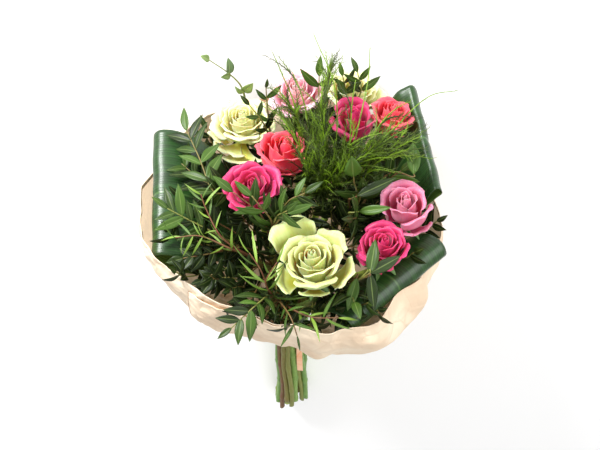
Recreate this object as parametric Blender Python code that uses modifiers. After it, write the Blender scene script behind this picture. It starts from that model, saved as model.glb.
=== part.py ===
"""Hand-tied bouquet of ten roses with mastic sprigs, folded aspidistra leaves and feathery fern,
gathered in a kraft paper wrap and laid on its side.

Run with: blender --background --python part.py
"""

import math

import bmesh
import bpy
import numpy as np
from mathutils import Matrix
from mathutils.bvhtree import BVHTree

# Driving dimensions, in millimetres. The bouquet's own frame has x to the left of someone who
# faces its front, y to the front and z up the stems, with z = 0 a hand's width below the tie.
# It is laid on its back by one turn about x.
MM = 0.001
LIE_TILT = math.radians(19.0)
LIFT = 32.6
SHIFT_X = 7.8
SHIFT_Y = 231.7
WAIST_Z = 150.0
LOWEST_Z = -42.0
CUT_SPREAD = 30.0
TWIST = math.radians(16.0)
BUNDLE_GAP = 0.27
STEM_GAP = 1.5
LEVEL_STEP = 10.0
SPREAD_START = 0.35
CLEARANCE = 0.4

ROSE_STEM = 4.3
SPRIG_STEM = 3.1
PETIOLE = 3.4
FERN_STEM = 2.3
ROSE_TAPER = 0.74
STEM_TAPER = 0.55
TWIG = 1.2
PAIR_STEP = 1.7

BLADE_THICK = 0.8
PETAL_THICK = 0.9
PAPER_THICK = 0.8

SEAT_GAP = 0.3
CALYX_HIGH = 9.0
SEPAL_REACH = 17.0
BLOOM_HALF_HIGH = 22.0
NECK = 26.9
TIE_WIDE = 6.5
TAIL_X = -11.0
TAIL_WIDE = 7.0
TAIL_LOW = 73.0

CREAM = (0.86, 0.86, 0.50)
CORAL = (0.86, 0.16, 0.17)
HOT_PINK = (0.86, 0.03, 0.26)
PALE_PINK = (0.90, 0.56, 0.62)
MAUVE_PINK = (0.80, 0.36, 0.50)
STEM_GREEN = (0.20, 0.34, 0.08)
MASTIC_GREEN = (0.05, 0.14, 0.04)
YOUNG_GREEN = (0.22, 0.38, 0.06)
FERN_GREEN = (0.10, 0.26, 0.03)
ASPIDISTRA_GREEN = (0.03, 0.12, 0.03)
SPRIG_GREEN = (0.16, 0.26, 0.12)
KRAFT = (0.66, 0.49, 0.33)
RIBBON = (0.80, 0.42, 0.22)

# Each rose: bloom centre, direction of its axis, colour, size, and its guard petals as
# (angle in degrees from the left, reach).
ROSES = {
    "rose_cream_left": ((54, -98, 372), (0.04, 0.13, 0.99), CREAM, 1.08, ((10, 33), (290, 30))),
    "rose_pale_pink": ((-3, -124, 396), (0.15, 0.20, 0.97), PALE_PINK, 1.0, ()),
    "rose_cream_back": ((-59, -127, 392), (-0.08, -0.10, 0.99), CREAM, 0.95, ()),
    "rose_coral_centre": ((13, -25, 415), (-0.16, 0.26, 0.95), CORAL, 1.0, ()),
    "rose_hot_pink_left": ((45, 31, 412), (0.15, 0.30, 0.94), HOT_PINK, 0.98, ()),
    "rose_hot_pink_top": ((-64, -73, 404), (0.0, 0.10, 0.99), HOT_PINK, 0.95, ()),
    "rose_coral_right": ((-110, -90, 399), (-0.20, 0.05, 0.97), CORAL, 0.95, ()),
    "rose_mauve": ((-128, 36, 388), (-0.05, 0.30, 0.95), MAUVE_PINK, 1.0, ((120, 31), (70, 29))),
    "rose_hot_pink_right": ((-102, 88, 384), (-0.09, 0.34, 0.93), HOT_PINK, 0.98, ()),
    "rose_cream_front": ((-24, 121, 390), (0.10, 0.14, 0.98), CREAM, 1.12,
                         ((15, 38), (160, 40), (230, 38), (305, 36))),
}

# Folded leaves: the two ends of the fold line, its middle being the leaf's widest place, the way
# inwards, and the path from the petiole over the fold as (outwards, up) from the fold line.
FLAT_ARCH = (
    (-108, -112), (-84, -52), (-60, -20), (-32, -3), (-9, 1),
    (0, -9), (-9, -22), (-36, -46), (-64, -84),
)
STEEP_ARCH = (
    (-100, -132), (-76, -86), (-54, -50), (-30, -16), (-9, 1),
    (0, -9), (-9, -16), (-27, -29), (-52, -62),
)
STANDING_ARCH = (
    (-92, -142), (-58, -96), (-36, -64), (-21, -34), (-8, 0),
    (0, -8), (-6, -18), (-22, -44), (-44, -78),
)
ASPIDISTRA = {
    "aspidistra_left": ((150, -64, 394), (148, 64, 340), (-1.0, 0.0), FLAT_ARCH),
    "aspidistra_right": ((-142, -122, 404), (-165, 0, 374), (0.98, 0.19), STANDING_ARCH),
    "aspidistra_front": ((-170, 56, 350), (-74, 156, 334), (0.721, -0.693), STEEP_ARCH),
}

# Leafy sprigs: where the bare stem ends, leaf size, colour and the branches. A branch is its
# route after the bare stem's end, and the number of leaf pairs on it.
SPRIGS = {
    "mastic_left": ((50, -8, 345), (30, 10), MASTIC_GREEN, (
        (((66, 6, 372), (82, 12, 384), (98, -25, 397), (112, -56, 404)), 4),
    )),
    "mastic_low_left": ((55, 45, 330), (31, 10), MASTIC_GREEN, (
        (((84, 50, 362), (108, 48, 380), (128, 44, 392)), 3),
        (((66, 84, 342), (84, 98, 346)), 2),
    )),
    "mastic_young": ((42, 75, 350), (24, 5), YOUNG_GREEN, (
        (((62, 86, 378), (92, 78, 388), (118, 80, 388)), 3),
    )),
    "mastic_centre": ((20, 58, 355), (29, 9), MASTIC_GREEN, (
        (((18, 70, 400), (26, 74, 425), (38, 66, 438)), 1),
        (((14, 74, 412), (2, 84, 436)), 2),
    )),
    "mastic_front": ((18, 108, 325), (28, 10), MASTIC_GREEN, (
        (((22, 132, 358), (36, 156, 370), (58, 176, 362)), 4),
        (((8, 138, 352), (-2, 164, 362), (-8, 178, 352)), 2),
    )),
    "mastic_hidden": ((40, 92, 310), (25, 11), MASTIC_GREEN, (
        (((50, 104, 336), (62, 118, 350)), 2),
    )),
    "mastic_front_right": ((-56, 96, 340), (31, 11), MASTIC_GREEN, (
        (((-68, 116, 364), (-84, 134, 384)), 2),
        (((-62, 124, 358), (-66, 146, 366)), 1),
    )),
    "mastic_right": ((-68, 22, 350), (32, 11), MASTIC_GREEN, (
        (((-74, 28, 388), (-76, 34, 412)), 1),
        (((-94, 6, 382), (-118, 2, 404)), 2),
    )),
    "mastic_top_right": ((-60, -100, 375), (27, 9), MASTIC_GREEN, (
        (((-88, -106, 412), (-86, -112, 440)), 2),
    )),
    "mastic_top": ((22, -76, 370), (20, 7), MASTIC_GREEN, (
        (((25, -88, 410), (26, -96, 430)), 1),
    )),
    "mastic_back": ((-26, -96, 365), (26, 9), MASTIC_GREEN, (
        (((-31, -108, 400), (-32, -114, 430)), 1),
    )),
    "round_leaf_sprig": ((50, -132, 352), (15, 11), SPRIG_GREEN, (
        (((58, -134, 392), (72, -130, 416), (90, -126, 434)), 3),
    )),
}

# Feathery fern: where the bare stem ends, and its fronds, each with its needles' count; a frond
# with none is a bare arching tip.
FERNS = {
    "fern_middle": ((-30, 5, 360), (
        (((-36, -6, 400), (-36, -26, 440), (-30, -44, 468)), 22),
        (((-48, -20, 410), (-48, -62, 462), (-26, -104, 500)), 0),
        (((-16, 12, 398), (-4, 22, 425), (8, 40, 446)), 14),
    )),
    "fern_right": ((-58, -8, 365), (
        (((-78, -20, 410), (-98, -44, 438), (-122, -62, 456)), 19),
        (((-72, -40, 420), (-84, -86, 452), (-86, -112, 474)), 0),
    )),
    "fern_low_right": ((-70, 4, 362), (
        (((-96, 4, 416), (-122, 0, 430), (-146, -8, 438)), 17),
        (((-104, -30, 420), (-146, -70, 440), (-182, -92, 430)), 0),
    )),
    "fern_left": ((-22, -30, 370), (
        (((-20, -52, 420), (-12, -70, 448), (-2, -88, 464)), 18),
        (((-6, -66, 430), (8, -90, 456), (18, -104, 474)), 0),
    )),
}

# How wide an aspidistra blade is at each share of its length.
BLADE_WIDTHS = ((0, 0.06), (0.12, 0.26), (0.35, 0.74), (0.55, 1.0), (0.72, 0.97), (0.88, 0.8), (1, 0.45))

SEED = 11
WRAP_AROUND = 32
FOLD_STEPS = 10
NEEDLE = 0.7
FROND_TIP = 0.55
KEPT_SHARE = 0.8

# A bloom: the outline of its heart as (radius, height), and its whorls of petals as count, half
# width in radians, root radius and height, radius, height, flare, how far one edge stands out,
# how far the rim rolls, and the steps along a petal.
BLOOM_HEART = ((0, 45), (5, 42), (14, 22), (16.5, 13), (6.2, 0), (0, 0))
WHORLS = (
    (4, 0.98, 9.2, 7.0, 23.5, 36.5, 1.04, 1.6, 2.0, 3),
    (3, 1.28, 12.2, 17.5, 18.4, 42.0, 0.95, 1.6, 0.8, 2),
    (2, 1.80, 7.2, 30.0, 11.5, 45.5, 0.85, 1.4, 0.0, 2),
)

# The way that leaves face, and the poses that a leaf is tried in: splay, pitch and share of size.
FACE = (0.0, 0.64, 0.77)
LEAF_POSES = (
    (0.85, 0.1, 1.0), (0.85, 0.5, 1.0), (0.5, 0.3, 1.0), (1.2, 0.4, 1.0), (0.85, -0.4, 1.0),
    (0.4, 0.8, 1.0), (1.2, 0.9, 1.0), (0.6, 1.4, 1.0), (1.3, -0.5, 1.0), (0.85, 0.3, 0.75),
    (0.5, 0.8, 0.75), (1.2, 0.8, 0.75), (0.3, 0.2, 0.75), (0.8, 1.6, 0.75),
)

# The wrap: outline from neck to rim as (share of the way up, share of the way out), then its
# widest radius and its rim's height at each angle from the left, front at 90.
WRAP_OUTLINE = (
    (0.0, 0.0), (0.043, 0.0), (0.1, 0.09), (0.27, 0.37),
    (0.48, 0.67), (0.69, 0.88), (0.88, 0.99), (1.0, 0.985),
)
WRAP_PLAN = (
    (0, 167, 352), (25, 171, 350), (50, 157, 348), (70, 155, 347), (90, 163, 345), (106, 178, 334),
    (122, 190, 320), (140, 186, 320), (160, 170, 320), (180, 164, 336), (210, 163, 340), (240, 164, 346),
    (270, 165, 352), (300, 165, 352), (330, 166, 352), (360, 167, 352),
)


# Small vector and curve helpers


def unit(vector):
    """The vector at length one."""
    vector = np.asarray(vector, float)
    return vector / np.linalg.norm(vector)


def square_to(direction, hint):
    """The part of hint that is square to direction, at length one."""
    hint = np.asarray(hint, float)
    return unit(hint - direction * (hint @ direction))


def smooth_path(points, count):
    """A Catmull-Rom curve through points, read at count even steps of its parameter."""
    p = np.asarray(points, float)
    p = np.vstack([2 * p[0] - p[1], p, 2 * p[-1] - p[-2]])
    t = np.linspace(0, len(p) - 3 - 1e-9, count)
    i = t.astype(int)
    f = (t - i)[:, None]
    a, b, c, d = p[i], p[i + 1], p[i + 2], p[i + 3]
    square, cube = 2 * a - 5 * b + 4 * c - d, 3 * b - a - 3 * c + d
    return 0.5 * (2 * b + (c - a) * f + square * f**2 + cube * f**3)


def bezier(a, b, c, d, t):
    """A cubic Bezier value at t."""
    s = 1 - t
    return a * s**3 + 3 * b * s**2 * t + 3 * c * s * t**2 + d * t**3


def turn(vector, axis, angle):
    """Rodrigues rotation of vector about axis."""
    return (
        vector * math.cos(angle)
        + np.cross(axis, vector) * math.sin(angle)
        + axis * (axis @ vector) * (1 - math.cos(angle))
    )


# The stems' routes: round rods packed at the tie, spreading above it without crossing


def rose_base(name):
    """Where a rose's bloom sits on its calyx, and the bloom's axis."""
    centre, axis, _, size, _ = ROSES[name]
    axis = unit(axis)
    return np.array(centre, float) - axis * BLOOM_HALF_HIGH * size, axis


def fold_frame(name):
    """The middle of an aspidistra's fold line, its half length along the fold, and the way in."""
    back, front, inwards, _ = ASPIDISTRA[name]
    back, front = np.array(back, float), np.array(front, float)
    return (back + front) / 2, (back - front) / 2, np.array([*inwards, 0.0])


def strands():
    """Every stem as (name, radius, upper end, direction there)."""
    found = []
    for name in ROSES:
        base, axis = rose_base(name)
        found.append((name, ROSE_STEM, base - axis * CALYX_HIGH, axis))
    for name, (_, _, _, path) in ASPIDISTRA.items():
        middle, _, inwards = fold_frame(name)
        out, up = path[0]
        end = middle - inwards * out + np.array([0, 0, up])
        along = np.array([*(-inwards[:2] * (path[1][0] - out)), path[1][1] - up])
        found.append((name, PETIOLE, end, unit(along)))
    for table, radius in ((SPRIGS, SPRIG_STEM), (FERNS, FERN_STEM)):
        for name, row in table.items():
            end = np.array(row[0], float)
            branches = row[-1]
            onward = np.array(branches[0][0][0], float) - end
            found.append((name, radius, end, unit(onward)))
    return found


def pushed_apart(spots, reach):
    """One round of moving every pair of discs apart that are nearer than reach."""
    away = spots[:, None] - spots[None]
    distance = np.linalg.norm(away, axis=2) + np.eye(len(spots)) * 1e6
    short = np.clip(reach - distance, 0, None)
    return spots + (away / distance[..., None] * short[..., None] * 0.35).sum(1)


def packed_bundle(radii, aims):
    """The stems' places in the tie: discs drawn to the middle in the order of their aims."""
    spots = aims * 0.13
    reach = radii[:, None] + radii[None] + BUNDLE_GAP
    np.fill_diagonal(reach, 0)
    for _ in range(500):
        spots = pushed_apart(spots * 0.992, reach)
    for _ in range(1500):
        spots = pushed_apart(spots, reach)
    return spots - spots.mean(0)


def stem_routes():
    """Each stem's route as points from its cut end to its upper end."""
    rows = strands()
    radii = np.array([row[1] for row in rows])
    tops = np.array([row[2] for row in rows])
    slopes = np.array([row[3][:2] / row[3][2] for row in rows])
    at_tie = packed_bundle(radii, tops[:, :2] * (200.0 / (tops[:, 2:] - WAIST_Z)))
    levels = np.arange(WAIST_Z, tops[:, 2].max() + LEVEL_STEP, LEVEL_STEP)
    share = (levels[None] - WAIST_Z) / (tops[:, 2:] - WAIST_Z)
    t = np.clip(share, 0, 1)[..., None]
    rise = (tops[:, 2] - WAIST_Z)[:, None, None]
    leaving = SPREAD_START * ((tops[:, :2] - at_tie)[:, None]) / rise
    lower = (2 * t**3 - 3 * t**2 + 1) * at_tie[:, None] + (t**3 - 2 * t**2 + t) * rise * leaving
    upper = (3 * t**2 - 2 * t**3) * tops[:, None, :2] + (t**3 - t**2) * rise * slopes[:, None]
    planned = lower + upper
    places = planned.copy()
    reach = (radii[:, None] + radii[None]) * 1.15 + STEM_GAP
    np.fill_diagonal(reach, 0)
    for _ in range(140):
        for k in range(1, len(levels)):
            here = np.nonzero(share[:, k] < 1.0)[0]
            near = reach[np.ix_(here, here)]
            near = near * min(1.0, 0.86 + 0.05 * k)
            places[here, k] = pushed_apart(places[here, k], near)
        inner = 0.5 * places[:, 1:-1] + 0.25 * (places[:, :-2] + places[:, 2:])
        places[:, 1:-1] = 0.8 * inner + 0.2 * (0.5 * places[:, 1:-1] + 0.5 * planned[:, 1:-1])
        places[:, 0] = at_tie
    cuts = np.random.default_rng(SEED).uniform(0, 1, len(rows))
    routes = {}
    for i, (name, radius, top, _) in enumerate(rows):
        low = LOWEST_Z + CUT_SPREAD * cuts[i] ** 1.5
        turned = TWIST * (WAIST_Z - low) / WAIST_Z
        c, s = math.cos(turned), math.sin(turned)
        foot = np.array([[c, -s], [s, c]]) @ at_tie[i]
        points = [(*foot, low), (*at_tie[i], WAIST_Z)]
        for k in range(1, len(levels)):
            if k % 4 == 2 and share[i, k] < 0.9:
                points.append((*places[i, k], levels[k]))
        points.append(tuple(top))
        routes[name] = (radius, np.array(points, float))
    return routes


# Solids: tubes, thin blades, petals and turned cores, as meshes in millimetres


def named_object(name, mesh, collection):
    """A new object for a mesh, in a collection."""
    made = bpy.data.objects.new(name, mesh)
    collection.objects.link(made)
    return made


def stem_radii(points, radius, share):
    """A stem's radius at each point of its route: even to the tie, then tapering to a share of it."""
    return np.interp(points[:, 2], (WAIST_Z, points[-1, 2]), (radius, radius * share))


def mesh_from(bm, name):
    """A mesh from a bmesh, which is freed."""
    mesh = bpy.data.meshes.new(name)
    bm.to_mesh(mesh)
    bm.free()
    return mesh


def evaluated_mesh(carrier):
    """The evaluated mesh of an object, which is removed."""
    graph = bpy.context.evaluated_depsgraph_get()
    mesh = bpy.data.meshes.new_from_object(carrier.evaluated_get(graph))
    bpy.data.objects.remove(carrier)
    return mesh


def welded(mesh, reach=0.001):
    """The mesh with its doubled corners merged and its faces pointing out."""
    bm = bmesh.new()
    bm.from_mesh(mesh)
    bmesh.ops.remove_doubles(bm, verts=bm.verts, dist=reach)
    bmesh.ops.recalc_face_normals(bm, faces=bm.faces)
    bm.to_mesh(mesh)
    bm.free()
    return mesh


def tube_mesh(points, radii, resolution=1):
    """A capped round tube through points, from a bevelled poly curve."""
    curve = bpy.data.curves.new("route", "CURVE")
    curve.dimensions = "3D"
    curve.bevel_depth = 1.0
    curve.bevel_resolution = resolution
    curve.use_fill_caps = True
    spline = curve.splines.new("POLY")
    spline.points.add(len(points) - 1)
    for spot, place, radius in zip(spline.points, points, radii):
        spot.co = (*place, 1.0)
        spot.radius = radius
    return welded(evaluated_mesh(named_object("route", curve, bpy.context.scene.collection)))


def turned_mesh(profile, steps):
    """A turned solid: the (radius, height) profile, top to bottom, spun round z by a Screw modifier."""
    bm = bmesh.new()
    spots = [bm.verts.new((r, 0, h)) for r, h in profile]
    for pair in zip(spots, spots[1:]):
        bm.edges.new(pair)
    carrier = named_object("profile", mesh_from(bm, "profile"), bpy.context.scene.collection)
    screw = carrier.modifiers.new("turn", "SCREW")
    screw.steps = steps
    screw.render_steps = steps
    screw.use_merge_vertices = True
    screw.merge_threshold = 0.0001
    return welded(evaluated_mesh(carrier))


def sheet_mesh(shape, across, along, thick):
    """A thin solid: a grid with u from -1 to 1 and v from 0 to 1, put where shape says and thickened."""
    bm = bmesh.new()
    bmesh.ops.create_grid(bm, x_segments=across, y_segments=along, size=1)
    u = np.array([v.co.x for v in bm.verts])
    v = np.array([v.co.y for v in bm.verts]) * 0.5 + 0.5
    for vert, place in zip(bm.verts, shape(u, v)):
        vert.co = place
    bmesh.ops.remove_doubles(bm, verts=bm.verts, dist=0.01)
    bmesh.ops.recalc_face_normals(bm, faces=bm.faces)
    bmesh.ops.solidify(bm, geom=bm.faces[:], thickness=thick)
    bmesh.ops.recalc_face_normals(bm, faces=bm.faces)
    bmesh.ops.triangulate(bm, faces=bm.faces)
    return mesh_from(bm, "sheet")


def needle_mesh(base, along, length, thick):
    """A three-sided needle that tapers to a point."""
    bm = bmesh.new()
    bmesh.ops.create_cone(bm, cap_ends=True, segments=3, radius1=thick, radius2=0, depth=length)
    side = square_to(along, (0.31, 0.52, 0.79))
    frame = np.stack([side, np.cross(along, side), along], axis=1)
    place = Matrix.Translation(base + along * length / 2) @ Matrix(frame.tolist()).to_4x4()
    bmesh.ops.transform(bm, matrix=place, verts=bm.verts)
    return mesh_from(bm, "needle")


def moved(mesh, base, axis):
    """The mesh turned so that its z runs along axis, then carried to base."""
    x_axis = square_to(axis, (1, 0, 0))
    frame = np.stack([x_axis, np.cross(axis, x_axis), axis], axis=1)
    mesh.transform(Matrix.Translation(base) @ Matrix(frame.tolist()).to_4x4())
    return mesh


# Keeping clear: the placed pieces are search trees, and each new one is tested against them


class Obstacles:
    """The surfaces placed so far, by the node that they belong to."""

    def __init__(self):
        self.rows = []

    @staticmethod
    def tree_of(mesh, grown):
        """A mesh's search tree and box, with each corner moved out by grown."""
        mesh.calc_loop_triangles()
        places = np.array([v.co + v.normal * grown for v in mesh.vertices])
        faces = [tuple(t.vertices) for t in mesh.loop_triangles]
        return BVHTree.FromPolygons(places.tolist(), faces), places.min(0), places.max(0)

    def add(self, name, mesh):
        """Keeps a mesh of the named node."""
        self.rows.append((name, *self.tree_of(mesh, 0.0)))

    def hits(self, mesh, own=""):
        """The names of the other nodes that a slightly grown copy of the mesh would cut."""
        tree, low, high = self.tree_of(mesh, CLEARANCE)
        found = set()
        for name, other, other_low, other_high in self.rows:
            apart = (low > other_high).any() or (high < other_low).any()
            if name != own and not apart and tree.overlap(other):
                found.add(name)
        return found


OBSTACLES = Obstacles()


def fused(name, first, others, collection, kept=KEPT_SHARE):
    """One object: the first mesh with the others joined on by a Boolean union, then thinned."""
    made = named_object(name, first, collection)
    helpers = bpy.data.collections.new("pieces")
    bpy.context.scene.collection.children.link(helpers)
    for mesh in others:
        named_object("piece", mesh, helpers)
    union = made.modifiers.new("union", "BOOLEAN")
    union.operation = "UNION"
    union.operand_type = "COLLECTION"
    union.collection = helpers
    union.solver = "EXACT"
    thin = made.modifiers.new("thin", "DECIMATE")
    thin.ratio = kept
    graph = bpy.context.evaluated_depsgraph_get()
    made.data = bpy.data.meshes.new_from_object(made.evaluated_get(graph))
    made.modifiers.clear()
    for piece in list(helpers.objects):
        bpy.data.objects.remove(piece)
    bpy.data.collections.remove(helpers)
    return made


def finish(made, colour, roughness):
    """Scales a part to metres, and gives it its own material and its shading."""
    made.data.transform(Matrix.Scale(MM, 4))
    material = bpy.data.materials.new(made.name)
    material.use_nodes = True
    surface = material.node_tree.nodes["Principled BSDF"]
    surface.inputs["Base Color"].default_value = (*colour, 1)
    surface.inputs["Roughness"].default_value = roughness
    made.data.materials.clear()
    made.data.materials.append(material)
    made.data.shade_smooth()
    made.data.set_sharp_from_angle(angle=math.radians(50))
    return made


# The wrap, its tie and the folded leaves


def floor_y(z):
    """The y of the surface that the bouquet lies on, at a height z up its stems."""
    return -(LIFT + z * math.sin(LIE_TILT)) / math.cos(LIE_TILT)


def eased(x, rows):
    """Cosine-eased values of a table's columns at x, its first column rising."""
    rows = np.array(rows, float)
    i = np.clip(np.searchsorted(rows[:, 0], x, side="right") - 1, 0, len(rows) - 2)
    t = np.clip((x - rows[i, 0]) / (rows[i + 1, 0] - rows[i, 0]), 0, 1)
    t = (0.5 - 0.5 * np.cos(math.pi * t))[..., None]
    return rows[i, 1:] * (1 - t) + rows[i + 1, 1:] * t


def wrap_shape(u, v):
    """The wrap: a gathered neck that flares to a rounded rim, flat where the bouquet lies on it."""
    around = math.pi * u
    widest, rim = eased(np.degrees(around) % 360, WRAP_PLAN).T
    stations = np.linspace(0, 1, len(WRAP_OUTLINE))
    up, reach = (np.interp(v, stations, column) for column in np.array(WRAP_OUTLINE).T)
    pleats = np.sin(9 * around + 0.6) * 1.6 + np.sin(14 * around + 2.2) * 1.2
    r = NECK + (widest - NECK) * reach + pleats * reach * np.sin(math.pi * v) ** 0.5
    z = WAIST_Z - 10 + (rim - WAIST_Z + 10) * up
    x, y = r * np.cos(around), r * np.sin(around)
    return np.stack([x, np.maximum(y, floor_y(z)), z], axis=1)


def build_wrap(collection):
    """The kraft paper wrap as one thin shell."""
    mesh = sheet_mesh(wrap_shape, WRAP_AROUND, len(WRAP_OUTLINE) - 1, PAPER_THICK)
    OBSTACLES.add("paper_wrap", mesh)
    return finish(named_object("paper_wrap", mesh, collection), KRAFT, 0.85)


def build_tie(collection):
    """The flat tie round the wrap's neck, with its one loose tail down the front."""
    inside = (NECK + SEAT_GAP) / math.cos(2 * math.pi / WRAP_AROUND)
    outside = inside + 1.6
    low, high = WAIST_Z - 3 - TIE_WIDE, WAIST_Z - 3
    outline = [(outside, high), (outside, low), (inside, low), (inside, high), (outside, high)]
    ring = turned_mesh(outline, WRAP_AROUND // 2)
    front = math.sqrt(outside**2 - TAIL_X**2) + 0.1

    def tail(u, v):
        drop = low + 2 - (low + 2 - TAIL_LOW) * v
        bow = 1.6 * np.sin(math.pi * v)
        return np.stack([TAIL_X + u * TAIL_WIDE / 2, front + bow + 0 * u, drop], axis=1)

    made = fused("tie", ring, [sheet_mesh(tail, 1, 4, BLADE_THICK)], collection, kept=1.0)
    OBSTACLES.add("tie", made.data)
    return finish(made, RIBBON, 0.6)


def folded_leaf_shape(name):
    """An aspidistra blade: it rises from its petiole, arches over its fold line and tucks back under."""
    middle, half, inwards = fold_frame(name)
    route = smooth_path(ASPIDISTRA[name][3], FOLD_STEPS + 1)
    run = np.concatenate([[0], np.cumsum(np.linalg.norm(np.diff(route, axis=0), axis=1))])
    run /= run[-1]

    def shape(u, v):
        out, up = np.interp(v, run, route[:, 0]), np.interp(v, run, route[:, 1])
        wide = np.interp(v, *np.transpose(BLADE_WIDTHS))
        hug = np.clip(1 - v / 0.5, 0, 1) * (u * wide) ** 2 * 16.0
        centre = middle + inwards * (hug - out)[:, None] + np.outer(up, (0, 0, 1))
        return centre + half * (u * wide)[:, None]

    return shape


def build_folded_leaf(name, route, collection):
    """An aspidistra leaf on its petiole."""
    radius, points = route
    petiole = tube_mesh(points, stem_radii(points, radius, STEM_TAPER))
    blade = sheet_mesh(folded_leaf_shape(name), 4, FOLD_STEPS, BLADE_THICK)
    made = fused(name, petiole, [blade], collection)
    OBSTACLES.add(name, made.data)
    return finish(made, ASPIDISTRA_GREEN, 0.35)


# The roses


def petal_shape(angle, spread, root, foot, radius, high, flare, lean, roll):
    """A petal round the bloom's axis: a cupped profile, a rounded top edge and a rolled rim."""

    def shape(u, v):
        reach = v * (1 - 0.2 * np.abs(u) ** 2.5)
        r = bezier(root, radius * 1.02, radius * 0.98, radius * flare, reach)
        h = bezier(foot, foot + 1.5, foot + 0.62 * (high - foot), high, reach)
        wide = spread * (0.4 + 0.6 * np.sin(np.minimum(reach / 0.7, 1) * math.pi / 2))
        curl = roll * np.clip((reach - 0.6) / 0.4, 0, 1) ** 2
        r = r + lean * u * np.minimum(1, 3 * reach) + curl
        phi = angle + u * wide
        return np.stack([r * np.cos(phi), r * np.sin(phi), h - 0.6 * curl], axis=1)

    return shape


def bloom_pieces(size, guards, phase):
    """The bloom about its own axis: its turned heart, and its petals whorl by whorl."""
    heart = turned_mesh([(r * size, h * size) for r, h in BLOOM_HEART], 7)
    petals = []
    for count, spread, root, foot, radius, high, flare, lean, roll, steps in WHORLS:
        for k in range(count):
            angle = phase + 2 * math.pi * (k + 0.01 * high) / count
            lengths = np.array((root, foot, radius, high)) * size
            shape = petal_shape(angle, spread, *lengths, flare, lean, roll)
            petals.append(sheet_mesh(shape, 3, steps, PETAL_THICK))
    for degrees, reach in guards:
        lengths = (7.0 * size, 6.5 * size, reach * 0.86, 21.0 * size)
        shape = petal_shape(math.radians(degrees), 0.62, *lengths, 1.1, 1.2, 3.0)
        petals.append(sheet_mesh(shape, 2, 3, PETAL_THICK))
    return heart, petals


def build_rose(name, phase, collection):
    """A rose's bloom, which sits on the calyx of its stem."""
    _, _, colour, size, guards = ROSES[name]
    base, axis = rose_base(name)
    heart, petals = bloom_pieces(size, guards, phase)
    bloom = fused(name, heart, petals, collection)
    moved(bloom.data, base, axis)
    OBSTACLES.add(name, bloom.data)
    return finish(bloom, colour, 0.55)


def build_rose_stem(name, route, collection):
    """A rose's stem, with the calyx and the five sepals under its bloom."""
    radius, points = route
    base, axis = rose_base(name)
    top = -SEAT_GAP
    outline = [(0, top), (6.4, top), (6.0, top - 4), (radius * 0.7, top - 12), (0, top - 12)]
    calyx = turned_mesh(outline, 10)
    for vert in calyx.vertices:
        around = math.atan2(vert.co.y, vert.co.x)
        if vert.co.xy.length > 6.2 and math.cos(5 * around) > 0:
            vert.co.xy *= SEPAL_REACH / 6.4
            vert.co.z -= 3.0
    points = np.vstack([points[:-1], base - axis * (CALYX_HIGH + 1)])
    stem = tube_mesh(points, stem_radii(points, radius, ROSE_TAPER))
    made = fused(name + "_stem", stem, [moved(calyx, base, axis)], collection)
    OBSTACLES.add(made.name, made.data)
    return finish(made, STEM_GREEN, 0.5)


# Leafy sprigs and fern


def leaf_shape(base, along, normal, length, width, arch=0.16, fold=0.3):
    """A lens-shaped blade: it runs along, arches away from its normal and folds at its rib."""
    normal = square_to(along, normal)
    side = np.cross(normal, along)

    def shape(u, v):
        half = 0.5 * width * np.sin(math.pi * np.clip(v, 0, 1) ** 0.85) ** 0.9
        half = np.where((v < 0.001) | (v > 0.999), 0, half)
        out = length * v - 0.5
        rise = fold * np.abs(u) * half - arch * length * v**2
        return base + np.outer(out, along) + np.outer(u * half, side) + np.outer(rise, normal)

    return shape


def clear_leaf(node, base, tangent, side, face, size):
    """The first of a leaf's poses that cuts no other node, or None."""
    length, width = size
    for splay, pitch, share in LEAF_POSES:
        along = unit(tangent * math.cos(splay) + side * math.sin(splay) + face * pitch)
        shape = leaf_shape(base, along, face, length * share, width * share)
        mesh = sheet_mesh(shape, 1, 3, BLADE_THICK)
        if not OBSTACLES.hits(mesh, node):
            return mesh
    return None


def grown_path(points, way, steps):
    """A branch's route: from just inside its stem's end, smoothly along its own points."""
    route = np.vstack([points[-2:], np.array(way, float)])
    onward = smooth_path(route, steps * (len(route) - 1) + 1)[steps + 1:]
    return np.vstack([points[-1] - 2.0 * unit(points[-1] - points[-2]), onward])


def along_path(path, share):
    """The place at a share of a path's points, and the path's direction there."""
    place = share * (len(path) - 1)
    i = min(int(place), len(path) - 2)
    return path[i] + (path[i + 1] - path[i]) * (place - i), unit(path[i + 1] - path[i])


def clear_branch(name, points, way, steps, ends, rng):
    """A branch's route and tube, shifted a little more at each try until it cuts no other node."""
    for tries in range(24):
        shifted = np.array(way, float) + rng.normal(0, 0.9 * tries + 0.01, (len(way), 3))
        path = grown_path(points, shifted, steps)
        tube = tube_mesh(path, np.linspace(*ends, len(path)), 0)
        if not OBSTACLES.hits(tube, name):
            break
    return path, tube


def sprig_pieces(name, route, branches, size, rng):
    """A sprig's twigs and its leaves, in pairs and one at each tip."""
    radius, points = route
    pieces = []
    for way, pairs in branches:
        path, tube = clear_branch(name, points, way, 2, (radius * STEM_TAPER * 0.9, TWIG * 0.7), rng)
        pieces.append(tube)
        for k, share in enumerate(np.linspace(1.0, 0.34, pairs + 1)):
            base, tangent = along_path(path, share)
            face = unit(square_to(tangent, FACE) + 0.35 * rng.uniform(-1, 1, 3))
            side = np.cross(face, tangent)
            ways = ((0, side * 0),) if k == 0 else ((0, side), (PAIR_STEP, -side))
            for step, outward in ways:
                scale = rng.uniform(0.88, 1.08) * (1.0 if k else 0.95)
                place = base + tangent * step
                leaf = clear_leaf(name, place, tangent, outward, face, np.array(size) * scale)
                if leaf is not None:
                    pieces.append(leaf)
    return pieces


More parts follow.
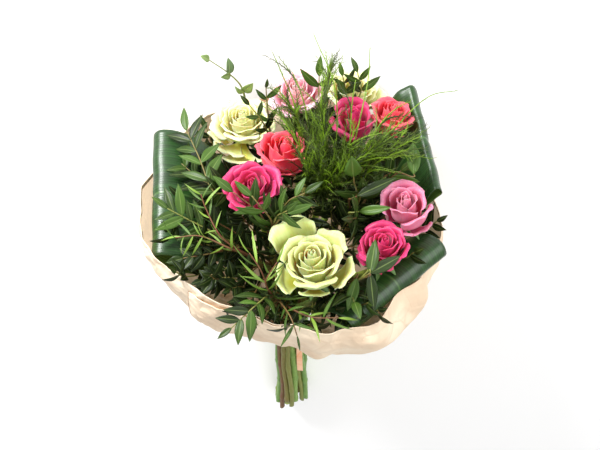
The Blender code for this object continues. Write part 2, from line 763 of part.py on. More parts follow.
def frond_pieces(name, route, fronds, rng):
    """A fern's fronds: tapering ribs with needles that point forward on both sides."""
    radius, points = route
    pieces = []
    for way, needles in fronds:
        path, tube = clear_branch(name, points, way, 2, (radius * STEM_TAPER * 0.9, FROND_TIP), rng)
        pieces.append(tube)
        for k in range(needles):
            base, tangent = along_path(path, 0.25 + 0.74 * k / needles)
            side = turn(square_to(tangent, FACE), tangent, k * 2.4 + rng.uniform(-0.3, 0.3))
            length = rng.uniform(17, 27) * (1.15 - 0.55 * k / needles)
            for splay in (0.95, 0.6, 1.3, 0.3):
                along = unit(tangent * math.cos(splay) + side * math.sin(splay))
                mesh = needle_mesh(base - along * 0.3, along, length, NEEDLE)
                if not OBSTACLES.hits(mesh, name):
                    pieces.append(mesh)
                    break
    return pieces


def build_foliage(name, route, pieces, colour, collection):
    """A leafy stem: its bare stem with the pieces that grow from it."""
    radius, points = route
    stem = tube_mesh(points, stem_radii(points, radius, STEM_TAPER), 0)
    made = fused(name, stem, pieces, collection)
    OBSTACLES.rows = [row for row in OBSTACLES.rows if row[0] != name]
    OBSTACLES.add(name, made.data)
    return finish(made, colour, 0.5)


def main():
    """Builds every part and lays the bouquet down."""
    for old in list(bpy.data.objects):
        bpy.data.objects.remove(old)
    parts = bpy.data.collections.new("bouquet")
    bpy.context.scene.collection.children.link(parts)
    routes = stem_routes()
    build_wrap(parts)
    build_tie(parts)
    for k, name in enumerate(ROSES):
        build_rose(name, 0.7 * k, parts)
    for name in ROSES:
        build_rose_stem(name, routes[name], parts)
    for name in ASPIDISTRA:
        build_folded_leaf(name, routes[name], parts)
    for name in (*SPRIGS, *FERNS):
        radius, points = routes[name]
        stem = tube_mesh(points, stem_radii(points, radius, STEM_TAPER), 0)
        OBSTACLES.add(name, stem)
    for k, (name, (_, size, colour, branches)) in enumerate(SPRIGS.items()):
        pieces = sprig_pieces(name, routes[name], branches, size, np.random.default_rng(SEED + k))
        build_foliage(name, routes[name], pieces, colour, parts)
    for k, (name, (_, fronds)) in enumerate(FERNS.items()):
        pieces = frond_pieces(name, routes[name], fronds, np.random.default_rng(SEED + 50 + k))
        build_foliage(name, routes[name], pieces, FERN_GREEN, parts)
    pose = bpy.data.objects.new("lying_pose", None)
    parts.objects.link(pose)
    pose.rotation_euler = (math.pi / 2 - LIE_TILT, 0, 0)
    pose.location = (SHIFT_X * MM, SHIFT_Y * MM, LIFT * MM)
    for made in parts.objects:
        if made is not pose:
            made.parent = pose


if __name__ == "__main__":
    main()
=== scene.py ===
"""Flower bouquet: ten roses, mastic sprigs, folded broad leaves and feathery fern, gathered in a
kraft paper wrap and laid on its side.

Every piece is a surface worked out with numpy in the bunch's own frame, in millimetres: x to the
left of someone who faces its front, y to the front and z up the stems. laid() turns that frame
down onto the table and into metres.
"""

import math

import bmesh
import bpy
import numpy as np
from mathutils import Matrix, Vector
from mathutils.bvhtree import BVHTree


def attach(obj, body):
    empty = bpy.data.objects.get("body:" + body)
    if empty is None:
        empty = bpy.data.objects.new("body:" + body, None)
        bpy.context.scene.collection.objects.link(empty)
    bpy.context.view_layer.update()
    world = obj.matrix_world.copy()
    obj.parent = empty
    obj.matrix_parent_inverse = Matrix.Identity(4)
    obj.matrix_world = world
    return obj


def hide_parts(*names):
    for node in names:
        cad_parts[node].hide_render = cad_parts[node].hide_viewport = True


bl_info = {
    "name": "Flower bouquet",
    "version": (1, 0, 0),
    "blender": (4, 5, 0),
    "location": "View3D > Sidebar > Bouquet",
    "description": "A hand-tied bunch of roses and foliage in a paper wrap",
    "category": "Add Mesh",
}

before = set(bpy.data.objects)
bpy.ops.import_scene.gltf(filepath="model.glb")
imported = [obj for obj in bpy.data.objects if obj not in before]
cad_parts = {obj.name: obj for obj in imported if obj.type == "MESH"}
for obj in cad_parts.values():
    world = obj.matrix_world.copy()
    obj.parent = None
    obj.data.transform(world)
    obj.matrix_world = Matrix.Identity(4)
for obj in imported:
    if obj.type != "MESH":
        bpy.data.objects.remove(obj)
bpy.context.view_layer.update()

# Driving dimensions, in millimetres
LIE_TILT = math.radians(19.0)
LIFT = 32.6
SHIFT_X = 7.8
SHIFT_Y = 231.7
WAIST_Z = 150.0
LOWEST_Z = -42.0
CUT_SPREAD = 30.0
TWIST = math.radians(16.0)
BUNDLE_GAP = 0.27
STEM_GAP = 1.5
LEVEL_STEP = 10.0
SPREAD_START = 0.35
SEED = 11

ROSE_STEM = 4.3
SPRIG_STEM = 3.1
PETIOLE = 3.4
FERN_STEM = 2.3
ROSE_TAPER = 0.74
STEM_TAPER = 0.55
CALYX_HIGH = 9.0
BLOOM_HALF_HIGH = 22.0
NECK = 26.9
TIE_LOW = 140.5
TIE_HIGH = 147.0
TAIL_X = -11.0
TAIL_WIDE = 7.0
TAIL_LOW = 62.0
FACE = np.array((0.0, 0.64, 0.77))
LEFTWARDS = np.array((1.0, 0.0, 0.0))
FRONTWARDS = np.array((0.0, 0.77, -0.64))
HEART_PETALS = 6
PETAL_ROLL = 0.0036
HANGING = 80.0
CROSSING = 0.2
OVERLAP_START = math.radians(46.0)
OVERLAP = math.radians(50.0)
HEM = 0.06
MM = 0.001
BLOOM_MIDDLE = 28.0
WRAP_SEED = 5
FERN_SEED = 50
GOLDEN_ANGLE = 2.39996
PETAL_TURN = 0.7

# Dents in the wrap, as (depth, middle in degrees, width in degrees)
FLAT_FRONT = (10, 82, 36)
LEAF_TUCK = (22, 134, 22)
# The wrap's facets, coarse and fine, as (size, count, share)
FACETS = ((46.0, 70, 0.15), (20.0, 300, 0.26))

# Heights under the bunch's dome between which the leaves and the fern turn lighter: below them they are
# painted dark, as painted shade deep in the bunch
LEAF_SHADE_HEIGHTS = (362, 408)
FERN_SHADE_HEIGHTS = (396, 440)

# How thick a fern's strands, its needles and a bare tip's bristles are, and the needles on a strand
STRAND_GIRTH = 1.15
NEEDLE_GIRTH = 0.48
BRISTLE_GIRTH = 0.36
NEEDLES_EACH = 12

# Filler twigs: how far up its stem one starts, its pairs, leaves and radius, its tone, kept low as painted
# shade since the filler sits deep in the bunch, and how far apart and how high the tips stand
HOST_SHARE = 0.8
FILLER_TWIG = (5, (25, 9.5), 1.3)
FILLER_SHADE_TONE = 0.3
FILLER_REACH = 140
FILLER_TOP = 362
FILLER_FALL = 0.0013

# The camera in the bunch's own frame: its directions, what it looks at, how far off in metres, its
# lens and sensor in millimetres; and the sky's strength
CAMERA_TOWARD = (0, 0.6361, 0.7716)
CAMERA_UP = (0, -0.7716, 0.6361)
CAMERA_AIM = (-11.0, 6.1, 318.9)
CAMERA_AWAY = 1.6
CAMERA_LENS = 87
CAMERA_SENSOR = 36
SKY_LIGHT = 0.56

# Each rose: bloom centre, direction of its axis, colour, size, petals, how open and how ruffled it
# is, how its head nods (left, front) and grows beyond its size, how far it hangs to the left and to
# the front, and its guard petals as (angle in degrees from the left, reach, height).
ROSES = {
    "rose_cream_left": (
        (54, -98, 372), (0.04, 0.13, 0.99), "cream", 1.08, 23, 0.8, 2.6, (0.02, -0.1, 1.02), (-2, 5),
        ((12, 36, 24), (300, 32, 28), (85, 50, 16), (60, 42, 20)),
    ),
    "rose_pale_pink": (
        (-3, -124, 396), (0.15, 0.20, 0.97), "pale_pink", 1.0, 22, 0.9, 1.2, (0.0, -0.12, 1.05), (-6, 8),
        ((60, 30, 20), (150, 31, 24), (350, 30, 22)),
    ),
    "rose_cream_back": (
        (-59, -127, 392), (-0.08, -0.10, 0.99), "cream", 0.95, 20, 0.9, 2.2, (-0.15, 0.0, 1.15), (-7, 7),
        ((200, 30, 26),),
    ),
    "rose_coral_centre": (
        (13, -25, 415), (-0.16, 0.26, 0.95), "coral", 1.0, 16, 0.3, 0.4, (0.03, -0.4, 1.06), (-6, 19),
        ((110, 27, 14), (160, 29, 10)),
    ),
    "rose_hot_pink_left": (
        (45, 31, 412), (0.15, 0.30, 0.94), "hot_pink", 0.98, 18, 0.75, 1.2, (-0.12, -0.05, 1.03), (-5, 5),
        ((35, 31, 24), (200, 30, 26), (90, 28, 12)),
    ),
    "rose_hot_pink_top": (
        (-64, -73, 404), (0.0, 0.10, 0.99), "hot_pink", 0.95, 13, 0.25, 1.0, (0.0, -0.1, 1.05), (-7, 7), (),
    ),
    "rose_coral_right": (
        (-110, -90, 399), (-0.20, 0.05, 0.97), "coral", 0.85, 18, 0.55, 0.8, (0.0, -0.2, 1.05), (-1, 11),
        ((110, 32, 12), (165, 27, 24), (70, 30, 14)),
    ),
    "rose_mauve": (
        (-128, 36, 388), (-0.05, 0.30, 0.95), "mauve", 1.0, 14, 0.1, 0.3, (0.1, -0.3, 1.1), (4, 13),
        ((130, 33, 16), (75, 31, 18)),
    ),
    "rose_hot_pink_right": (
        (-102, 88, 384), (-0.09, 0.34, 0.93), "hot_pink", 0.98, 20, 0.25, 0.4, (0.08, -0.25, 1.02), (3, 9),
        ((10, 31, 20), (55, 29, 12)),
    ),
    "rose_cream_front": (
        (-24, 121, 390), (0.10, 0.14, 0.98), "cream_green", 1.12, 20, 0.4, 0.5, (0.0, -0.12, 1.0), (0, 1),
        ((12, 40, 16), (165, 40, 22), (232, 38, 30), (298, 46, 37), (90, 34, 14)),
    ),
}

# Folded leaves: the two ends of the fold line, the way inwards, and the path over the fold from the
# petiole as (outwards, up) from the fold line; last, how far its back corner stays up.
FLAT_ARCH = (
    (-108, -112), (-84, -52), (-60, -20), (-32, -3), (-9, 1),
    (0, -9), (-9, -22), (-36, -46), (-64, -84),
)
STEEP_ARCH = (
    (-110, -132), (-86, -90), (-63, -50), (-47, -20), (-30, -2), (-10, 3),
    (0, -8), (-8, -17), (-27, -32), (-52, -64),
)
STANDING_ARCH = (
    (-92, -142), (-58, -98), (-42, -62), (-27, -28), (-9, 1),
    (0, -8), (-6, -18), (-22, -44), (-44, -78),
)
ASPIDISTRA = {
    "aspidistra_left": ((150, -64, 394), (148, 64, 340), (-1.0, 0.0), FLAT_ARCH, 0.0),
    "aspidistra_right": ((-142, -122, 404), (-165, 0, 374), (0.98, 0.19), STANDING_ARCH, 18.0),
    "aspidistra_front": ((-168, 63, 348), (-66, 157, 338), (0.721, -0.693), STEEP_ARCH, 0.0),
}

# The petioles' upper ends and their directions there, and where other stems head past their ends
# when that isn't their first branch: the stems keep to these places.
PETIOLES = {
    "aspidistra_left": ((41.0, 0.0, 255.0), (24.0, 0.0, 60.0)),
    "aspidistra_right": ((-63.34, -43.52, 247.0), (-33.32, -6.46, 46.0)),
    "aspidistra_front": ((-49.9, 36.7, 210.0), (-17.304, 16.632, 46.0)),
}
# What these stems' upper ends head for, instead of their first branch's first point
HEADINGS = {
    "mastic_front_right": (-68, 116, 364), "mastic_top_right": (-88, -106, 412),
    "round_leaf_sprig": (58, -134, 392), "fern_low_right": (-96, 4, 416),
}
# Along a broad leaf, from 0 to 1, and its half width there as a share of its fold's half length
BLADE_WIDTHS = ((0, 0.06), (0.12, 0.3), (0.34, 0.86), (0.5, 1.02), (0.72, 0.98), (0.88, 0.8), (1, 0.45))

# Leafy sprigs: where the bare stem ends, leaf size, leaf kind and the branches, each as its route
# and its number of leaf pairs.
SPRIGS = {
    "mastic_left": ((50, -8, 345), (31, 10), "mastic", (
        (((66, 6, 372), (82, 12, 384), (98, -25, 397), (112, -56, 404)), 7),
        (((78, -4, 366), (104, -20, 374), (120, -34, 378)), 4),
    )),
    "mastic_low_left": ((55, 45, 330), (31, 10), "mastic", (
        (((84, 50, 362), (108, 48, 380), (128, 44, 392)), 5),
        (((66, 84, 342), (84, 98, 346)), 3, (20, 10), "mastic"),
        (((82, 72, 352), (112, 82, 356)), 4, (20, 10), "mastic"),
    )),
    "mastic_young": ((42, 75, 350), (23, 2.5), "young", (
        (((62, 86, 378), (92, 78, 388), (118, 80, 388)), 6),
        (((70, 74, 380), (86, 52, 398), (92, 40, 410)), 5),
    )),
    "mastic_centre": ((20, 58, 355), (30, 10), "mastic", (
        (((18, 70, 400), (26, 74, 425), (38, 66, 438)), 2),
        (((14, 74, 412), (2, 84, 436)), 3),
        (((4, 52, 408), (-16, 50, 424)), 3),
        (((30, 62, 404), (58, 52, 428)), 2),
        (((14, 72, 400), (5, 71, 414), (2, 70, 415)), 0, (29, 9), "mastic"),
    )),
    "mastic_front": ((18, 108, 325), (28, 10), "mastic", (
        (((22, 132, 358), (36, 156, 370), (58, 176, 362)), 5),
        (((8, 138, 352), (-2, 164, 362), (-8, 178, 352)), 3, (24, 3.6), "mastic"),
        (((20, 130, 356), (28, 126, 390), (40, 116, 408)), 3, (26, 2.4), "young"),
        (((18, 132, 360), (24, 134, 384), (12, 128, 408)), 4, (26, 2.6), "young"),
        (((0, 140, 348), (-22, 158, 356), (-50, 162, 360)), 4, (22, 2.8), "young"),
    )),
    "mastic_hidden": ((40, 92, 310), (20, 10.5), "mastic", (
        (((50, 104, 336), (62, 118, 350)), 4),
        (((60, 96, 340), (92, 104, 346)), 4),
    )),
    "mastic_front_right": ((-56, 96, 340), (31, 11), "mastic", (
        (((-70, 121, 372), (-81, 130, 388), (-82, 128, 390)), 0, (36, 13), "mastic"),
        (((-71, 122, 372), (-79.5, 129, 389), (-82, 128, 390)), 0, (38, 12.5), "mastic"),
        (((-70, 123, 373), (-81, 125.5, 392), (-82, 128, 390)), 0, (40, 11.5), "mastic"),
        (((-64, 122, 368), (-70, 122, 381), (-69, 125, 378)), 0, (36, 12), "mastic"),
        (((-62, 124, 358), (-66, 146, 366)), 2),
    )),
    "mastic_right": ((-68, 22, 350), (32, 12), "mastic", (
        (((-74, 28, 388), (-76, 34, 412)), 3),
        (((-94, 6, 382), (-118, 2, 404)), 3),
        (((-70, 50, 384), (-66, 66, 402)), 3),
        (((-70, 34, 404), (-67, 36, 424), (-66, 36, 434)), 0, (32, 18), "mastic"),
        (((-62, 40, 400), (-64, 46, 410), (-70, 44, 412)), 0, (46, 12), "mastic"),
        (((-62, 50, 392), (-66, 56, 400), (-72, 55, 400)), 0, (36, 10), "mastic"),
        (((-104, 0, 396), (-129.7, 12.2, 406.2), (-131, 10, 408)), 0, (36, 15), "mastic"),
    )),
    "mastic_top_right": ((-60, -100, 375), (23, 7.5), "mastic", (
        (((-78, -108, 410), (-74, -116, 434)), 3),
        (((-62, -108, 406), (-58, -116, 428)), 3),
    )),
    "mastic_top": ((22, -76, 370), (20, 7), "mastic", (
        (((25, -88, 410), (26, -96, 430)), 2),
        (((30, -70, 404), (44, -76, 424)), 2),
    )),
    "mastic_back": ((-26, -96, 365), (26, 9), "mastic", (
        (((-31, -108, 400), (-32, -114, 430)), 3),
    )),
    "round_leaf_sprig": ((50, -132, 352), (17, 11.5), "sprig", (
        (((54, -136, 388), (68, -134, 414), (89, -131, 438)), 2),
    )),
}

# Feathery fern: where the bare stem ends, and its fronds as route and fullness; a frond with none
# is a long arching tip with short bristles.
FERNS = {
    "fern_middle": ((-30, 5, 360), (
        (((-36, -6, 400), (-36, -26, 440), (-30, -44, 468)), 1.2),
        (((-48, -20, 410), (-48, -62, 462), (-26, -104, 500)), 0),
        (((-24, 16, 394), (-18, 16, 422), (-8, 4, 446)), 1.0),
        (((-34, 20, 394), (-32, 22, 420), (-26, 14, 448)), 1.1),
        (((-42, 18, 396), (-50, 22, 414), (-58, 18, 432)), 0.6),
        (((-26, 0, 398), (-22, -22, 424), (-16, -50, 446)), 1.0),
        (((-18, -6, 400), (-8, -24, 420), (0, -44, 436)), 0.8),
        (((-46, 2, 404), (-60, -2, 436), (-72, -12, 462)), 0.7),
    )),
    "fern_right": ((-58, -8, 365), (
        (((-78, -20, 410), (-94, -34, 434), (-108, -44, 446)), 0.5),
        (((-72, -40, 420), (-84, -86, 452), (-86, -112, 474)), 0),
        (((-70, 0, 408), (-84, 0, 430), (-98, -6, 444)), 0.7),
        (((-64, -28, 412), (-66, -52, 446), (-70, -72, 466)), 0.25),
    )),
    "fern_low_right": ((-70, 4, 362), (
        (((-86, 4, 412), (-98, 0, 424), (-110, -4, 432)), 0.6),
        (((-104, -30, 420), (-146, -70, 440), (-182, -92, 430)), 0),
        (((-84, -16, 406), (-98, -28, 422), (-112, -36, 430)), 0.5),
    )),
    "fern_left": ((-22, -30, 370), (
        (((-20, -52, 420), (-12, -70, 448), (-2, -88, 464)), 0.4),
        (((-6, -66, 430), (8, -90, 456), (18, -104, 474)), 0),
        (((-14, -34, 414), (-6, -44, 444), (6, -48, 466)), 1.0),
        (((-34, -56, 414), (-40, -82, 446), (-42, -98, 462)), 0.6),
        (((-8, -40, 398), (2, -60, 406), (12, -78, 412)), 0.5),
    )),
}

# Where more filler twigs close gaps, along the wrap's front rim and between the roses at the back
GAP_TARGETS = (
    (-44, 122, 318), (-64, 134, 322), (-22, 138, 312), (-82, 128, 326), (-50, 108, 330), (4, 142, 314),
    (30, 138, 316), (56, 126, 318), (-36, 96, 336), (14, -90, 366), (30, -104, 368),
    (0, -98, 366), (-20, -90, 370), (10, -100, 378), (16, -92, 390), (4, -104, 384),
)

# The poses that a leaf is tried in: splay, pitch and share of size.
LEAF_POSES = (
    (0.85, 0.1, 1.0), (0.85, 0.5, 1.0), (0.5, 0.3, 1.0), (1.2, 0.4, 1.0), (0.85, -0.4, 1.0),
    (0.4, 0.8, 1.0), (1.2, 0.9, 1.0), (0.6, 1.4, 1.0), (1.3, -0.5, 1.0), (0.85, 0.3, 0.75),
    (0.5, 0.8, 0.75), (1.2, 0.8, 0.75), (0.3, 0.2, 0.75), (0.8, 1.6, 0.75),
)

# The wrap: outline from neck to rim as (share of the way up, share of the way out), then its widest
# radius and its rim's height at each angle from the left, front at 90.
WRAP_OUTLINE = (
    (0.0, 0.0), (0.043, 0.0), (0.1, 0.09), (0.27, 0.37),
    (0.48, 0.67), (0.69, 0.88), (0.88, 0.99), (1.0, 0.985),
)
WRAP_PLAN = (
    (0, 159, 352), (25, 164, 350), (50, 157, 348), (70, 155, 347), (90, 163, 345), (106, 178, 336),
    (122, 192, 332), (140, 188, 335), (160, 170, 323), (180, 164, 336), (210, 163, 340), (240, 164, 346),
    (270, 165, 352), (300, 165, 352), (330, 162, 352), (360, 159, 352),
)


def tint(red, green, blue):
    """A colour as linear light: each 0 to 255 value c goes to ((c / 255 + 0.055) / 1.055) ^ 2.4."""
    return tuple(((c / 255 + 0.055) / 1.055) ** 2.4 for c in (red, green, blue))


def tints(*colours):
    """Several colours as linear light."""
    return tuple(tint(*colour) for colour in colours)


# Vectors and curves


def unit(vector):
    """Each vector over its length."""
    vector = np.asarray(vector, float)
    return vector / np.linalg.norm(vector, axis=-1, keepdims=True)


def square_to(direction, hint):
    """The part of hint that is square to direction, hint - direction (hint . direction), at length one."""
    hint = np.broadcast_to(np.asarray(hint, float), np.shape(direction))
    return unit(hint - direction * (hint * direction).sum(-1, keepdims=True))


def smooth_path(points, count):
    """A Catmull-Rom curve through points, read at count even steps of its parameter."""
    p = np.asarray(points, float)
    p = np.vstack([2 * p[0] - p[1], p, 2 * p[-1] - p[-2]])
    t = np.linspace(0, len(p) - 3 - 1e-9, count)
    i = t.astype(int)
    f = (t - i)[:, None]
    a, b, c, d = p[i], p[i + 1], p[i + 2], p[i + 3]
    square, cube = 2 * a - 5 * b + 4 * c - d, 3 * b - a - 3 * c + d
    return 0.5 * (2 * b + (c - a) * f + square * f**2 + cube * f**3)


def smooth_step(x, low, high):
    """t^2 (3 - 2 t) of the share t of the way from low to high."""
    t = np.clip((x - low) / (high - low), 0, 1)
    return t * t * (3 - 2 * t)


def eased(x, rows):
    """Cosine-eased values of a table's columns at x, its first column rising."""
    rows = np.array(rows, float)
    i = np.clip(np.searchsorted(rows[:, 0], x, side="right") - 1, 0, len(rows) - 2)
    t = np.clip((x - rows[i, 0]) / (rows[i + 1, 0] - rows[i, 0]), 0, 1)
    t = (0.5 - 0.5 * np.cos(math.pi * t))[..., None]
    return rows[i, 1:] * (1 - t) + rows[i + 1, 1:] * t


def laid(points):
    """The bunch's own frame turned down by 90 - tilt degrees about x, shifted and put into metres."""
    x, y, z = np.moveaxis(np.asarray(points, float), -1, 0)
    s, c = math.sin(LIE_TILT), math.cos(LIE_TILT)
    return np.stack([x + SHIFT_X, s * y - c * z + SHIFT_Y, c * y + s * z + LIFT], -1) * MM


def placed(points, base, axis):
    """Points about a z axis, turned so that z runs along axis and carried to base."""
    x_axis = square_to(axis, (1.0, 0, 0))
    return points @ np.stack([x_axis, np.cross(axis, x_axis), axis]) + base


# The stems' routes: round rods packed at the tie, spreading above it without crossing


def rose_base(name):
    """Where a rose's bloom sits on its calyx, and the bloom's axis."""
    centre, axis, _, size = ROSES[name][:4]
    axis = unit(axis)
    return np.array(centre, float) - axis * BLOOM_HALF_HIGH * size, axis


def fold_frame(name):
    """The middle of a folded leaf's fold line, its half length along the fold, and the way in."""
    back, front, inwards = ASPIDISTRA[name][:3]
    back, front = np.array(back, float), np.array(front, float)
    return (back + front) / 2, (back - front) / 2, np.array([*inwards, 0.0])


def strands():
    """Every stem as (name, radius, upper end, direction there)."""
    found = []
    for name in ROSES:
        base, axis = rose_base(name)
        found.append((name, ROSE_STEM, base - axis * CALYX_HIGH, axis))
    for name, (end, along) in PETIOLES.items():
        found.append((name, PETIOLE, np.array(end), unit(np.array(along))))
    for table, radius in ((SPRIGS, SPRIG_STEM), (FERNS, FERN_STEM)):
        for name, row in table.items():
            end = np.array(row[0], float)
            onward = np.array(HEADINGS.get(name, row[-1][0][0][0]), float) - end
            found.append((name, radius, end, unit(onward)))
    return found


def pushed_apart(spots, reach):
    """One round of moving every pair of discs apart that are nearer than reach."""
    away = spots[:, None] - spots[None]
    distance = np.linalg.norm(away, axis=2) + np.eye(len(spots)) * 1e6
    short = np.clip(reach - distance, 0, None)
    return spots + (away / distance[..., None] * short[..., None] * 0.35).sum(1)


def packed_bundle(radii, aims):
    """The stems' places in the tie: discs drawn to the middle in the order of their aims."""
    spots = aims * 0.13
    reach = radii[:, None] + radii[None] + BUNDLE_GAP
    np.fill_diagonal(reach, 0)
    for _ in range(500):
        spots = pushed_apart(spots * 0.992, reach)
    for _ in range(1500):
        spots = pushed_apart(spots, reach)
    return spots - spots.mean(0)


def stem_routes():
    """Each stem's route as its radius and its points from its cut end to its upper end."""
    rows = strands()
    radii = np.array([row[1] for row in rows])
    tops = np.array([row[2] for row in rows])
    slopes = np.array([row[3][:2] / row[3][2] for row in rows])
    at_tie = packed_bundle(radii, tops[:, :2] * (200.0 / (tops[:, 2:] - WAIST_Z)))
    levels = np.arange(WAIST_Z, tops[:, 2].max() + LEVEL_STEP, LEVEL_STEP)
    share = (levels[None] - WAIST_Z) / (tops[:, 2:] - WAIST_Z)
    t = np.clip(share, 0, 1)[..., None]
    rise = (tops[:, 2] - WAIST_Z)[:, None, None]
    leaving = SPREAD_START * ((tops[:, :2] - at_tie)[:, None]) / rise
    lower = (2 * t**3 - 3 * t**2 + 1) * at_tie[:, None] + (t**3 - 2 * t**2 + t) * rise * leaving
    upper = (3 * t**2 - 2 * t**3) * tops[:, None, :2] + (t**3 - t**2) * rise * slopes[:, None]
    planned = lower + upper
    places = planned.copy()
    reach = (radii[:, None] + radii[None]) * 1.15 + STEM_GAP
    np.fill_diagonal(reach, 0)
    for _ in range(140):
        for k in range(1, len(levels)):
            here = np.nonzero(share[:, k] < 1.0)[0]
            near = reach[np.ix_(here, here)] * min(1.0, 0.86 + 0.05 * k)
            places[here, k] = pushed_apart(places[here, k], near)
        inner = 0.5 * places[:, 1:-1] + 0.25 * (places[:, :-2] + places[:, 2:])
        places[:, 1:-1] = 0.8 * inner + 0.2 * (0.5 * places[:, 1:-1] + 0.5 * planned[:, 1:-1])
        places[:, 0] = at_tie
    cuts = np.random.default_rng(SEED).uniform(0, 1, len(rows))
    routes = {}
    for i, (name, radius, top, _) in enumerate(rows):
        low = LOWEST_Z + CUT_SPREAD * cuts[i] ** 1.5
        turned = TWIST * (WAIST_Z - low) / WAIST_Z
        c, s = math.cos(turned), math.sin(turned)
        foot = np.array([[c, -s], [s, c]]) @ at_tie[i]
        points = [(*foot, low), (*at_tie[i], WAIST_Z)]
        for k in range(1, len(levels)):
            if k % 4 == 2 and share[i, k] < 0.9:
                points.append((*places[i, k], levels[k]))
        points.append(tuple(top))
        routes[name] = (radius, np.array(points, float))
    return routes


ROUTES = stem_routes()


def stem_line(points, step=6.0):
    """A stem's line: cubic Hermite in height, its slopes the weighted differences of its points."""
    z = points[:, 2]
    slopes = np.gradient(points[:, :2], z, axis=0)
    slopes[0] = (points[1, :2] - points[0, :2]) / (z[1] - z[0])
    slopes[1] = slopes[0] * 0.5 + slopes[1] * 0.5
    heights = np.linspace(z[0], z[-1], int((z[-1] - z[0]) / step) + 2)
    i = np.clip(np.searchsorted(z, heights, side="right") - 1, 0, len(z) - 2)
    h = (z[i + 1] - z[i])[:, None]
    t = ((heights - z[i])[:, None]) / h
    flat = (2 * t**3 - 3 * t**2 + 1) * points[i, :2] + (t**3 - 2 * t**2 + t) * h * slopes[i]
    flat += (3 * t**2 - 2 * t**3) * points[i + 1, :2] + (t**3 - t**2) * h * slopes[i + 1]
    return np.column_stack([flat, heights])


# Meshes from grids


def grid_faces(rows, cols):
    """The four corners of every cell of a grid, numbered row by row."""
    i, j = np.arange(rows - 1)[:, None] * cols, np.arange(cols - 1)[None]
    return np.stack([i + j, i + j + 1, i + cols + j + 1, i + cols + j], -1).reshape(-1, 4)


class Patches:
    """Grids of corners gathered for one mesh, each grid with its UVs, its tone and its material."""

    def __init__(self):
        self.points, self.faces, self.uvs, self.tones, self.kinds = [], [], [], [], []
        self.count = 0

    def add(self, points, tone=0.5, kind=0):
        """Adds one grid, or several as (grids, rows, columns, 3), with a tone for each."""
        points = np.asarray(points, float)
        points = points[None] if points.ndim == 3 else points
        n, rows, cols, _ = points.shape
        faces = grid_faces(rows, cols)
        offsets = self.count + np.arange(n)[:, None, None] * rows * cols
        v, u = np.meshgrid(np.linspace(0, 1, rows), np.linspace(0, 1, cols), indexing="ij")
        uv = np.broadcast_to(np.stack([u, v], -1), (n, rows, cols, 2))
        self.points.append(points.reshape(-1, 3))
        self.faces.append((faces[None] + offsets).reshape(-1, 4))
        self.uvs.append(uv.reshape(-1, 2))
        self.tones.append(np.broadcast_to(np.reshape(tone, (-1, 1, 1)), (n, rows, cols)).ravel())
        self.kinds.append(np.full(n * len(faces), kind))
        self.count += n * rows * cols

    def mesh(self, name):
        """The mesh in metres, laid down, with its grids' closed seams and poles merged."""
        points, faces = laid(np.concatenate(self.points)), np.concatenate(self.faces)
        uvs, tones = np.concatenate(self.uvs), np.concatenate(self.tones)
        made = bpy.data.meshes.new(name)
        made.vertices.add(len(points))
        made.vertices.foreach_set("co", points.astype(np.float32).ravel())
        made.loops.add(faces.size)
        made.loops.foreach_set("vertex_index", faces.astype(np.int32).ravel())
        made.polygons.add(len(faces))
        made.polygons.foreach_set("loop_start", np.arange(0, faces.size, 4, dtype=np.int32))
        made.polygons.foreach_set("material_index", np.concatenate(self.kinds).astype(np.int32))
        made.uv_layers.new(name="shape").data.foreach_set("uv", uvs[faces.ravel()].astype(np.float32).ravel())
        made.attributes.new("tone", "FLOAT", "POINT").data.foreach_set("value", tones.astype(np.float32))
        made.update(calc_edges=True)
        made.validate()
        bm = bmesh.new()
        bm.from_mesh(made)
        bmesh.ops.remove_doubles(bm, verts=bm.verts, dist=1e-7)
        bm.to_mesh(made)
        bm.free()
        made.shade_smooth()
        return made


def add_piece(name, patches, materials, nodes, thickness=0.0, lining=0):
    """The finished piece: it rides on the one body and stands for its nodes, thickened where asked, its
    second side in the material that is lining places further on."""
    piece = bpy.data.objects.new(name, patches.mesh(name))
    bpy.context.scene.collection.objects.link(piece)
    for material in materials:
        piece.data.materials.append(material)
    if thickness:
        wall = piece.modifiers.new("thickness", "SOLIDIFY")
        wall.thickness = thickness * MM
        wall.offset = 0.0
        wall.material_offset = lining
    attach(piece, "root")
    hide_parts(*nodes)
    return piece


def tube_grid(path, radii, sides=12):
    """A round tube: rings of the given radii square to the path, turned on without twist, with both
    ends closed to a point at the ring's middle."""
    path = np.asarray(path, float)
    tangents = unit(np.gradient(path, axis=0))
    normals = np.empty_like(path)
    normals[0] = square_to(tangents[0], (0.3, 0.9, 0.2))
    for k in range(1, len(path)):
        normals[k] = square_to(tangents[k], normals[k - 1])
    around = np.linspace(0, 2 * math.pi, sides + 1)
    ring = normals[:, None] * np.cos(around)[None, :, None]
    ring = ring + np.cross(tangents, normals)[:, None] * np.sin(around)[None, :, None]
    grid = path[:, None] + ring * np.reshape(radii, (len(path), -1, 1))
    first = np.broadcast_to(path[0], (1, sides + 1, 3))
    last = np.broadcast_to(path[-1], (1, sides + 1, 3))
    return np.concatenate([first, grid, last])


